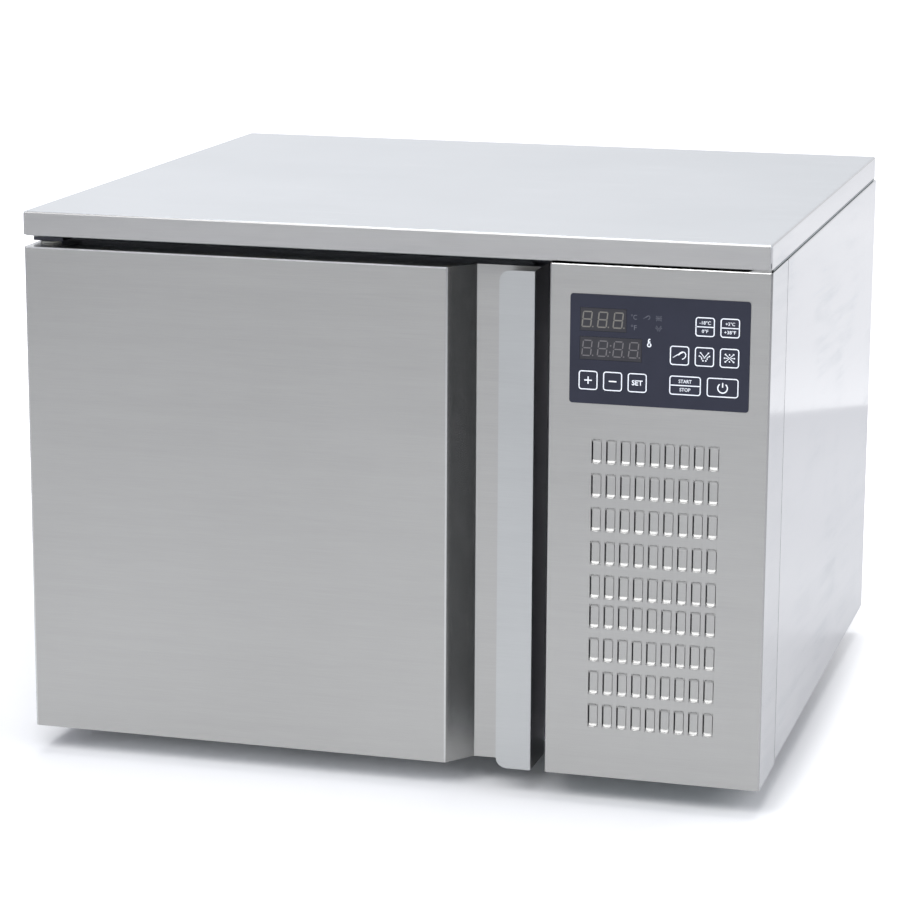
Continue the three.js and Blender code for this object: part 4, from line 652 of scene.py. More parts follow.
@dataclass
class LouvredPanel:
    """Service panel: one folded sheet with louvres pressed inwards and a cut-out behind the keypad."""

    columns: int = 9
    rows: int = 9
    upper_rows: int = 5
    width: float = 8.3 * MM
    height: float = 20.0 * MM
    depth: float = 2.0 * MM
    ramp: float = 3.0 * MM
    ease: float = 0.6
    corner: float = 1.8 * MM
    slit: float = 0.5 * MM
    pitch_x: float = 12.07 * MM
    pitch_z: float = 28.35 * MM
    middle_pitch: float = 25.3 * MM
    left: float = 36.6 * MM
    top: float = 286.7 * MM
    sheet: float = 1.0 * MM
    fold: float = 1.4 * MM
    seam: float = 0.7 * MM
    top_fold: float = 0.9 * MM
    nick: float = 3.5 * MM
    return_short: float = 0.3 * MM
    lap: float = 5.0 * MM
    edge: float = 0.3 * MM
    weld: float = 0.005 * MM
    stations: tuple[float, ...] = (0.0, 0.05, 0.15, 0.5, 0.85, 0.95, 1.0)
    curve_steps: int = 6
    low: Vector = field(default_factory=lambda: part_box("front_service_panel")[0])
    high: Vector = field(default_factory=lambda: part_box("front_service_panel")[1])

    def louvres(self) -> list[Point2]:
        """Finds the louvres, row by row.

        Returns:
            Left edge and top of each louvre.
        """
        places = []
        for row in range(self.rows):
            step = self.pitch_z - self.middle_pitch if row >= self.upper_rows else 0.0
            top = self.low.z + self.top - row * self.pitch_z + step
            places += [(self.low.x + self.left + k * self.pitch_x, top) for k in range(self.columns)]
        return places

    def window(self) -> tuple[float, float, float, float]:
        """Left, right, lower and upper edge of the cut-out behind the keypad."""
        low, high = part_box("control_overlay")
        return (low.x + self.lap, high.x - self.lap, low.z + self.lap, high.z - self.lap)

    def across(self, left: float) -> list[float]:
        """Places across one louvre's bridge, between the slits at both sides of it."""
        return [left + self.slit + share * (self.width - 2 * self.slit) for share in self.stations]

    def section(self) -> list[Point2]:
        """Lays out the sheet in plan.

        Returns:
            Its outer line, from the end of the left return to the end of the wrap.
        """
        x0, x1, y, fold = self.low.x, self.high.x, self.low.y, self.fold
        lines = {x0 + fold, x1 - fold, *self.window()[:2]}
        for left in {left for left, _ in self.louvres()}:
            lines |= {left, left + self.width, *self.across(left)}
        return [(x0, self.high.y - self.return_short),
                *arc_points((x0 + fold, y + fold), fold, 180, 270, 5)[:-1],
                *((x, y) for x in sorted(lines)), *arc_points((x1 - fold, y + fold), fold, 270, 360, 5)[1:],
                (x1, self.high.y - self.nick), (x1, self.high.y - self.seam)]

    def lay_sheet(self, body: Body) -> None:
        """Adds the folded sheet round the louvres and the cut-out.

        Args:
            body: the piece.
        """
        openings = [(left, left + self.width, top - self.height, top) for left, top in self.louvres()]
        openings.append(self.window())
        levels = {self.low.z, self.high.z, self.high.z - self.nick}
        levels = sorted(levels.union(*(hole[2:] for hole in openings)))
        path = self.section()
        for (xa, ya), (xb, yb) in zip(path, path[1:]):
            wrap_end = yb == self.high.y - self.seam and xb == self.high.x
            flat = max(ya, yb) < self.low.y + self.weld
            here = [hole[2:] for hole in openings if flat and hole[0] < (xa + xb) / 2 < hole[1]]
            for za, zb in zip(levels, levels[1:]):
                if any(low < (za + zb) / 2 < high for low, high in here):
                    continue
                if flat and zb == self.high.z:
                    self.fold_back(body, xa, xb)
                    zb = self.high.z - self.top_fold
                corners = [(xa, ya, za), (xb, yb, za), (xb, yb, zb), (xa, ya, zb)]
                if wrap_end and zb == self.high.z:
                    arc = arc_points((yb - self.nick, zb - self.nick), self.nick, 0, 90, 6)
                    corners = [(xa, ya, za), *((xb, y, z) for y, z in arc)]
                body.face(corners)

    def fold_back(self, body: Body, left: float, right: float) -> None:
        """Adds a piece of the fold along the panel's top.

        Args:
            body: the piece.
            left: left end.
            right: right end.
        """
        radius = self.top_fold
        arc = arc_points((self.low.y + radius, self.high.z - radius), radius, 180, 90, 5)
        for (ya, za), (yb, zb) in zip(arc, arc[1:]):
            body.face(((left, ya, za), (right, ya, za), (right, yb, zb), (left, yb, zb)))

    def drop(self, share: float) -> float:
        """How far a bridge's round corner sets its slope back.

        Args:
            share: place across the bridge, from 0 to 1.

        Returns:
            The distance from the louvre's end to the start of the slope.
        """
        edge = min(share, 1 - share) * self.width
        return self.corner - math.sqrt(self.corner ** 2 - max(self.corner - edge, 0.0) ** 2)

    def press_bridge(self, body: Body, left: float, top: float) -> None:
        """Adds one bridge: it leaves the sheet at a crease, runs behind it and comes back.

        Args:
            body: the piece.
            left: left edge of the louvre.
            top: top of the louvre.
        """
        columns = []
        for share, x in zip(self.stations, self.across(left)):
            drop = self.drop(share)
            half = [(0.0, 0.0)]
            for s in (i / self.curve_steps for i in range(self.curve_steps + 1)):
                half.append((self.depth * s ** self.ease, drop + (self.ramp - drop) * s))
            profile = [(y, -z) for y, z in half] + [(y, z - self.height) for y, z in reversed(half)]
            columns.append([body.mesh.verts.new((x, self.low.y + y, top + z)) for y, z in profile])
        body.join(columns, closed=False)

    def build(self) -> None:
        """Builds the panel in place of its plain node, with painted light on its wrap and folds in copies of
        its steel.
        """
        body = Body("louvred_service_panel")
        self.lay_sheet(body)
        for left, top in self.louvres():
            self.press_bridge(body, left, top)
        bmesh.ops.remove_doubles(body.mesh, verts=body.mesh.verts, dist=self.weld)
        panel = body.finish(
            "cabinet", "front_steel", BrushedStainless("brushed_stainless_panel"),
            MirrorStainless("panel_wrap_painted_light", "#CACACB", "#BEC0C2"),
            FoldHighlight("panel_top_fold_painted_highlight"),
            FoldHighlight("panel_upright_fold_painted_highlight", "#9C9C9C", "#929292"))
        # painted light: the wrap round the right side takes a lighter mirror copy of the steel, the top fold
        # a near-white painted highlight and the upright folds a fainter one
        for face in panel.data.polygons:
            on_side = not self.low.x + self.fold < face.center.x < self.high.x - self.fold
            on_top = face.center.z > self.high.z - self.top_fold
            if face.normal.x > 0.99:
                face.material_index = 1
            elif (on_side or on_top) and face.center.y < self.low.y + self.fold and face.normal.y > -0.99:
                face.material_index = 2 if on_top else 3
        add_bevel(panel, "rounded edges", "ANGLE", self.edge, 2, 0).angle_limit = math.radians(50)
        thickness = panel.modifiers.new("sheet thickness", "SOLIDIFY")
        thickness.thickness, thickness.offset, thickness.use_even_offset = self.sheet, -1.0, True
        panel.modifiers.move(len(panel.modifiers) - 1, 0)
        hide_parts("front_service_panel")


@dataclass
class CrossScrew:
    """Pan-head screw whose cross recess is painted shade: a dark cross set into the head."""

    head: float = 7.0 * MM
    height: float = 2.2 * MM
    slot: float = 1.1 * MM

    def add(self, body: Body, place: Point3, plane: Plane) -> None:
        """Adds one screw head to a piece.

        Args:
            body: the piece.
            place: middle of the head's underside.
            plane: plane that it sits on.
        """
        radius = self.head / 2
        dome = [(radius * u, self.height * (0.35 + 0.65 * v)) for u, v in arc_points((0, 0), 1, 0, 90, 5)]
        dome[-1] = (radius * 0.12, self.height)
        body.lathe([(0.0, 0.0), (radius, 0.0), *dome, (0.0, self.height - 0.1 * MM)], plane, place)
        # painted shade: the cross is a dark inset in the head in place of a cut recess
        half = self.slot / 2
        for u, v in ((self.head * 0.3, half), (half, self.head * 0.3)):
            body.slab([(-u, -v), (u, -v), (u, v), (-u, v)],
                      self.height - 0.35 * MM, self.height + 0.02 * MM, plane, place, 1)


@dataclass
class Cabinet:
    """Outer sheets, feet and hinge brackets of the machine."""

    mullion_grooves: int = 5
    groove: float = 1.4 * MM
    groove_depth: float = 1.1 * MM
    vent_side: float = 40 * MM
    vent_edge: float = 20 * MM
    # a dark sheet behind the rear vents paints the machine's inside as shade: its margin round the vents and
    # its thickness
    shade_sheet_margin: float = 4.5 * MM
    screen: float = 0.5 * MM
    screw: CrossScrew = field(default_factory=CrossScrew)
    screw_inset: float = 9 * MM
    screws_across: int = 5
    screws_up: int = 4
    rear_sheet: float = 1.0 * MM

    def dress(self) -> None:
        """Finishes the CAD nodes of the cabinet."""
        mirror = MirrorStainless("bright_annealed_side")
        self.dress_worktop(mirror)
        dress(mirror, "left_side_panel", "right_side_panel")
        dress(CoatedSteel("galvanised_steel", "#AEB3B5", "#8C9294"),
              "rear_panel", "base_pan", "deck_plate", "compartment_partition")
        dress(PolyurethaneFoam("worktop_core_foam"), "worktop_core")
        dress(MouldedPolymer("moulded_nitrile_rubber", "#1C1D1E", "#2B2C2C", 0.8, 0.8, 0.03),
              "foot_front_left", "foot_front_right", "foot_rear_left", "foot_rear_right")
        # the hinge brackets are drawn dark grey
        dress(CoatedSteel("dark_grey_bracket_steel", "#4A4B51", "#3B3C42", 0.4, 1.5),
              "hinge_bracket_top", "hinge_bracket_bottom")
        dress(DrawnMetal("ground_steel_pin", "#C9CACB", "#9C9FA1", 0.2), "hinge_pin_top", "hinge_pin_bottom")

    def dress_worktop(self, mirror: Finish) -> None:
        """Finishes the worktop with painted light and shade by facing: a lighter copy of the steel on top, a
        darker one at its front edge, and the side panels' mirror at its ends.

        Args:
            mirror: finish of the ends.
        """
        dress(BrushedStainless("worktop_top_painted_light", "#EAEDF1", "#DADEE2", 0.24, 0.5, "Y"), "worktop")
        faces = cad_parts["worktop"].data.polygons
        # painted shade: the front edge takes a darker copy of the steel, like the door's; the ends take the
        # side panels' lighter mirror as painted light
        ground = BrushedStainless("worktop_front_painted_shade", "#A9A9A9", "#A2A2A2")
        dress_faces("worktop", ground, *(face for face in faces if face.normal.y < -FOLD_COSINE))
        dress_faces("worktop", mirror, *(face for face in faces if abs(face.normal.x) > FOLD_COSINE))

    def build_mullion_cover(self) -> None:
        """Extruded cover strip between the chamber frame and the service panel, with lengthwise grooves."""
        low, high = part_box("mullion_cover")
        pitch = (high.x - low.x) / self.mullion_grooves
        front = []
        for k in range(self.mullion_grooves):
            middle = low.x + (k + 0.5) * pitch
            for x, y in ((-1, 0.0), (-0.7, self.groove_depth), (0.7, self.groove_depth), (1, 0.0)):
                front.append((middle + x * self.groove / 2, low.y + y))
        body = Body("grooved_mullion_cover")
        body.slab([(low.x, low.y), *front, (high.x, low.y), (high.x, high.y), (low.x, high.y)],
                  low.z, high.z, Plane.TOP)
        # painted light: the cover is drawn pale lavender grey, lighter than the dark plastic it stands for,
        # which lifts the shaded gap beside the door
        strip = body.finish("cabinet", "dark_plastic",
                            MouldedPolymer("mullion_cover_painted_light", "#C2C1CA", "#C8C7CF", 0.42))
        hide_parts("mullion_cover")

    def build_vent_shade_sheet(self) -> None:
        """Dark sheet over the rear panel's vents from inside: painted shade, which keeps the white ground
        from showing through the vents and the louvres.
        """
        low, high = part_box("rear_panel")
        slots = [v.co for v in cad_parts["rear_panel"].data.vertices
                 if low.x + self.vent_side < v.co.x < high.x - self.vent_edge
                 and low.z + self.vent_edge < v.co.z < (low.z + high.z) / 2]
        margin = self.shade_sheet_margin
        left, right = min(c.x for c in slots) - margin, max(c.x for c in slots) + margin
        bottom, top = min(c.z for c in slots) - margin, max(c.z for c in slots) + margin
        body = Body("rear_vent_shade_sheet")
        body.slab([(left, bottom), (right, bottom), (right, top), (left, top)],
                  0.0, self.screen, Plane.FRONT, (0.0, low.y, 0.0))
        body.finish("cabinet", "dark_plastic",
                    MouldedPolymer("dark_sheet_painted_shade", "#2B2C2E", "#3A3B3D", 0.8, 1.2, 0.2))

    def build_rear_screws(self) -> None:
        """Screws that hold the rear panel round its edge."""
        low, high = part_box("rear_panel")
        inset, across, up = self.screw_inset, self.screws_across, self.screws_up
        body = Body("rear_panel_screws")
        for i in range(across):
            for k in range(up):
                if i in (0, across - 1) or k in (0, up - 1):
                    x = low.x + inset + i * (high.x - low.x - 2 * inset) / (across - 1)
                    z = low.z + inset + k * (high.z - low.z - 2 * inset) / (up - 1)
                    self.screw.add(body, (round(x, 5), low.y + self.rear_sheet, round(z, 5)), Plane.BACK)
        body.finish("cabinet", "zinc_steel", CoatedSteel("zinc_plated_screw", "#C8CAC6", "#A9ACA8", 0.3, 2.0),
                    MouldedPolymer("shadowed_recess", "#26282A", "#1B1C1D", 0.7))


# ---------------------------------------------------------------- door

@dataclass
class Door:
    """Foam-filled door with a finger channel, a turned-in handle lip and a push-in gasket."""

    lip_width: float = 30 * MM
    channel_depth: float = 24 * MM
    fold_radius: float = 1.2 * MM
    fold_depth: float = 1.6 * MM
    front_depth: float = 2 * MM
    slack: float = 0.1 * MM

    def dress(self) -> None:
        """Finishes the CAD nodes of the door."""
        dress(BrushedStainless("brushed_stainless_door"), "door_skin")
        self.dress_skin()
        dress(PolyurethaneFoam("door_core_foam"), "door_foam")
        dress(BrushedStainless("bright_stainless_door_liner", "#D3D6D9", "#C9CDD0", 0.24), "door_liner")
        dress(MouldedPolymer("moulded_nylon", "#E4E4DF", "#CFCEC6", 0.45),
              "hinge_bush_top", "hinge_bush_bottom")

    def dress_skin(self) -> None:
        """Paints light and shade on the door's one sheet with copies of its steel in other tones: a lighter
        lip, a darker slanted wall in the channel, lighter top, bottom and left edges, and painted highlights
        on the folds.
        """
        low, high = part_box("door_skin")
        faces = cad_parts["door_skin"].data.polygons
        lip = high.x - self.lip_width
        # painted light: the lip's front takes a lighter, cooler copy of the door's steel, though it is the
        # same sheet in the same plane
        dress_faces("door_skin", BrushedStainless("door_lip_painted_light", "#A8AAAB", "#A1A3A4"), *(
            face for face in faces if face.normal.y < -0.2 and face.center.y < low.y + self.front_depth
            and face.center.x > lip - self.slack))
        # painted shade: the channel's slanted wall takes a darker copy of the door's steel
        wall = BrushedStainless("door_channel_painted_shade", "#8B8B8A", "#838382", 0.2, 0.85)
        dress_faces("door_skin", wall, *(
            face for face in faces if face.normal.x > 0.5 and face.center.x < lip
            and low.y + self.front_depth < face.center.y < low.y + self.channel_depth))
        # painted light: the door's top, bottom and left faces take a lighter copy of its steel
        edge = BrushedStainless("door_edge_painted_light", "#DADCDE", "#D0D2D4", 0.25, 0.3)
        dress_faces("door_skin", edge, *(
            face for face in faces if abs(face.normal.z) > FOLD_COSINE or face.normal.x < -FOLD_COSINE))
        # painted highlights: the channel's folds and the rounded folds of the door's upper front take lighter
        # copies of its steel
        dress_faces("door_skin", FoldHighlight("channel_fold_painted_highlight", "#B2B2B2", "#A8A8A8"), *(
            face for face in faces if 0.05 < abs(face.normal.x) < 0.98 and face.normal.y < -0.1
            and face.center.y < low.y + self.fold_depth and face.center.x < lip))
        fold = dress_faces("door_skin", FoldHighlight("door_fold_painted_highlight"))
        round_folds("door_skin", self.fold_radius, fold, (low.x - MM, (low.z + high.z) / 2),
                    (lip - MM, high.z + MM))

    def build_gasket(self) -> None:
        """Magnetic gasket: a bellows section mitred round the chamber mouth."""
        low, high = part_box("door_gasket")
        inner = [v.co.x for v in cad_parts["door_gasket"].data.vertices
                 if abs(v.co.z - (low.z + high.z) / 2) < (high.z - low.z) / 2 - MM
                 and v.co.x - low.x < (high.x - low.x) / 4]
        section = self.bellows(max(inner) - low.x, high.y - low.y)
        body = Body("door_gasket_bellows")
        rings = []
        for x, z, ix, iz in ((low.x, low.z, 1, 1), (high.x, low.z, -1, 1),
                             (high.x, high.z, -1, -1), (low.x, high.z, 1, -1)):
            rings.append([body.mesh.verts.new((x + ix * u, low.y + v, z + iz * u)) for u, v in section])
        body.join([*rings, rings[0]])
        gasket = body.finish("door", "gasket_rubber", MouldedPolymer(
            "extruded_soft_pvc", "#4A4A54", "#55555E", 0.55, 0.8, 0.01, 1.53, 0.2))
        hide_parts("door_gasket")

    @staticmethod
    def bellows(width: float, depth: float) -> list[Point2]:
        """Section of the gasket: a flat foot, two folds at each side and a rounded magnet tube at the back.

        Args:
            width: width of the section.
            depth: depth of the section, door to frame.

        Returns:
            (across, depth) points, both from 0.
        """
        fold = 0.14 * width
        folds = ((0.0, 0.0), (0.0, 0.16), (1.0, 0.26), (0.2, 0.38), (1.3, 0.5), (0.3, 0.6), (0.0, 0.68))
        half = [(width - inward * fold, share * depth) for inward, share in folds]
        half += [(width * (0.8 + 0.2 * u), depth * (0.76 + 0.24 * v))
                 for u, v in arc_points((0, 0), 1, 0, 90, 5)[1:]]
        return half + [(width - u, v) for u, v in reversed(half)]


# ---------------------------------------------------------------- chamber and condensing unit

FINS = DrawnMetal("rolled_aluminium_fins", "#C6C9CB", "#A5A9AB", 0.34, 30.0)
FAN_NYLON = MouldedPolymer("glass_filled_nylon_fan", "#232527", "#303234")
MOTOR_ENAMEL = MouldedPolymer("stove_enamelled_motor", "#191A1C", "#27282A", 0.42, 1.2, 0.03)


@dataclass
class Chamber:
    """Insulated chamber with its racks, evaporator and fan."""

    def dress(self) -> None:
        """Finishes the CAD nodes of the chamber."""
        dress(MirrorStainless("bright_annealed_liner", "#D8DBDD", "#CACDD0", 0.2),
              "inner_liner", "evaporator_cover")
        # painted light: the frame is drawn pale grey, lighter than the dark plastic it most likely is, which
        # lifts the shaded gap round the door
        dress(MouldedPolymer("chamber_frame_painted_light", "#A4A5AA", "#AAABAF", 0.38, 0.9, 0.01), "chamber_frame")
        dress(PolyurethaneFoam("cabinet_foam"), "insulation")
        dress(DrawnMetal("polished_stainless_wire", "#D6D8DA", "#B9BCBE", 0.14, 30.0),
              "tray_rack_left", "tray_rack_right")
        dress(FINS, "evaporator_coil")
        dress(FAN_NYLON, "evaporator_fan_blade")
        dress(MOTOR_ENAMEL, "evaporator_fan_motor")
        dress(MouldedPolymer("moulded_drain_nylon", "#DEDED8", "#C9C8BF", 0.45), "chamber_drain")
        dress(MouldedPolymer("moulded_grommet_rubber", "#222325", "#303133", 0.75), "probe_grommet")


@dataclass
class CondensingUnit:
    """Compressor, condenser, fan, pipes and power box behind the louvres."""

    def dress(self) -> None:
        """Finishes the CAD nodes of the condensing unit."""
        dress(FINS, "condenser_coil")
        dress(FAN_NYLON, "condenser_fan_blade")
        dress(MOTOR_ENAMEL, "condenser_fan_motor")
        dress(CoatedSteel("galvanised_shroud", "#A9AEB0", "#8A9092"), "condenser_fan_shroud")
        dress(MouldedPolymer("stove_enamelled_shell", "#17181A", "#242527", 0.36, 1.4, 0.04), "compressor")
        dress(DrawnMetal("drawn_copper_tube", "#C07A58", "#8C5238", 0.3, 22.0),
              "suction_pipe", "discharge_pipe", "liquid_pipe", "filter_drier")
        dress(MouldedPolymer("moulded_abs_box", "#35383B", "#44474A", 0.55), "power_box")
        dress(MouldedPolymer("moulded_gland_nylon", "#202224", "#2F3133"), "cable_gland")


# ---------------------------------------------------------------- keypad

class Ends(Enum):
    """How the segments of a digit meet."""

    SQUARE = "mitred into square corners"
    POINTED = "pointed, so that the corners look cut"


@dataclass(frozen=True)
class DigitWindow:
    """A row of slanted seven-segment digits in a tinted window."""

    node: str
    count: int
    first: float
    ends: Ends
    ink: int
    width: float = 8.1 * MM
    height: float = 13.4 * MM
    pitch: float = 12.8 * MM
    line: float = 1.05 * MM
    gap: float = 0.12 * MM
    slant: float = math.tan(math.radians(6.2))
    point: tuple[float, float, float] = (9.45 * MM, 0.75 * MM, 0.6 * MM)
    colon_after: int = 0
    colon_dot: float = 0.62 * MM

    def segments(self) -> list[list[Point2]]:
        """Draws one digit from its lower left corner.

        Returns:
            Outlines of the seven segments and the point.
        """
        tip = self.line / 2
        x = (tip, self.width - tip)
        z = (tip, self.height / 2, self.height - tip)
        spans = [((x[0], level), (x[1], level)) for level in z]
        spans += [((side, z[k]), (side, z[k + 1])) for side in x for k in (0, 1)]
        cut = self.gap + (tip * 0.75 if self.ends is Ends.POINTED else 0.0)
        outlines = []
        for start, end in spans:
            along = (Vector(end) - Vector(start)).normalized()
            across = Vector((-along.y, along.x)) * tip
            a, b = Vector(start) + along * cut, Vector(end) - along * cut
            points = [a, a + along * tip - across, b - along * tip - across, b,
                      b - along * tip + across, a + along * tip + across]
            outlines.append([(p.x, p.y) for p in points])
        return [*outlines, round_dot(self.point[:2], self.point[2])]

    def draw(self, body: Body, proud: float) -> None:
        """Adds the digits to a piece.

        Args:
            body: the piece.
            proud: height of the segments over the window.
        """
        low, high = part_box(self.node)
        origin = (low.x + self.first, low.y, low.z + (high.z - low.z - self.height) / 2)
        outlines = [[(u + v * self.slant + digit * self.pitch, v) for u, v in outline]
                    for digit in range(self.count) for outline in self.segments()]
        for height in (0.3, 0.7) if self.colon_after else ():
            v = self.height * height
            u = (self.colon_after - 1) * self.pitch + (self.pitch + self.width) / 2 + v * self.slant
            outlines.append(round_dot((u, v), self.colon_dot))
        for outline in outlines:
            body.slab(outline, -SINK, proud, Plane.FRONT, origin, self.ink)


@dataclass(frozen=True)
class Symbol:
    """A printed symbol; all its sizes are in millimetres from its middle.

    lines holds a width and a path each, dots a place and a radius, shapes an outline, and words the text with
    its width, height, level and weight. A divided key has a line across its whole width.
    """

    lines: tuple[tuple[float, Sequence[Point2]], ...] = ()
    dots: tuple[tuple[float, float, float], ...] = ()
    shapes: tuple[Sequence[Point2], ...] = ()
    words: tuple[tuple[str, float, float, float, float], ...] = ()
    divided: bool = False


PROBE = Symbol(
    lines=((0.75, ((2.6, 3.3), (4.2, 2.7), (5.1, 1.2), (4.8, -0.8), (3.8, -2.1), (2.1, -2.9))),),
    shapes=(((-5.4, -2.0), (-5.5, -1.6), (-1.4, 1.25), (-0.9, 0.6)),
            ((-1.9, 0.3), (0.2, 2.6), (2.4, 3.7), (3.2, 2.6), (1.0, 1.5), (-0.5, 0.1))))
SNOWFLAKE = Symbol(
    lines=tuple(line for s in (1, -1) for line in (
        (0.6, ((-3.1, -2.8 * s), (3.1, 2.8 * s))), (0.6, ((1.3 * s, 0.0), (3.8 * s, 0.0))))),
    dots=tuple(dot for s in (1, -1) for dot in (
        (3.3, 3.0 * s, 0.72), (-3.3, 3.0 * s, 0.72), (3.9 * s, 0.0, 0.72), (0.0, 2.8 * s, 0.62))))
FALLING_DROPS = Symbol(
    lines=tuple(line for s in (1, -1) for line in (
        (0.6, ((-0.5 * s, -1.2), (3.0 * s, 3.1))), (0.6, ((2.0 * s, -0.7), (3.8 * s, 0.5))))),
    dots=tuple(dot for s in (1, -1) for dot in (
        (3.2 * s, 3.2, 0.68), (4.1 * s, 0.6, 0.66), (2.2 * s, -1.6, 0.6), (1.15 * s, -3.1, 0.66))))
THERMOMETER = Symbol(lines=(
    (0.95, arc_points((0.0, -1.6), 1.35, 110, 430, 20)),
    (0.95, ((-0.55, -0.5), (-0.55, 2.2), (-0.2, 3.0), (0.9, 3.1))),
    (0.8, ((0.55, -0.4), (0.55, 1.5)))))
LEVEL_STROKE = (1.05, ((-3.2, 0.0), (3.2, 0.0)))
TWO_WORD_KEYS = (("key_start_stop", "START", 10.6, "STOP", 8.8), ("key_freeze", "-18°C", 9.2, "0°F", 5.2),
                 ("key_chill", "+3°C", 7.6, "+38°F", 9.6))
KEY_SYMBOLS = {
    **{name: Symbol(words=((upper, upper_width, 2.9, 3.4, 0.01), (lower, lower_width, 2.9, -3.4, 0.01)),
                    divided=True) for name, upper, upper_width, lower, lower_width in TWO_WORD_KEYS},
    "key_set": Symbol(words=(("SET", 9.0, 4.3, 0.0, 0.02),)),
    "key_minus": Symbol(lines=(LEVEL_STROKE,)),
    "key_plus": Symbol(lines=(LEVEL_STROKE, (1.05, ((0.0, -3.0), (0.0, -0.52))),
                              (1.05, ((0.0, 0.52), (0.0, 3.0))))),
    "key_power": Symbol(lines=((1.0, arc_points((0.0, -0.3), 3.9, -232, 52, 28)),
                               (1.0, ((0.0, 0.2), (0.0, 4.1))))),
    "key_core_probe": PROBE,
    "key_hard_chill": SNOWFLAKE,
    "key_defrost": FALLING_DROPS,
}


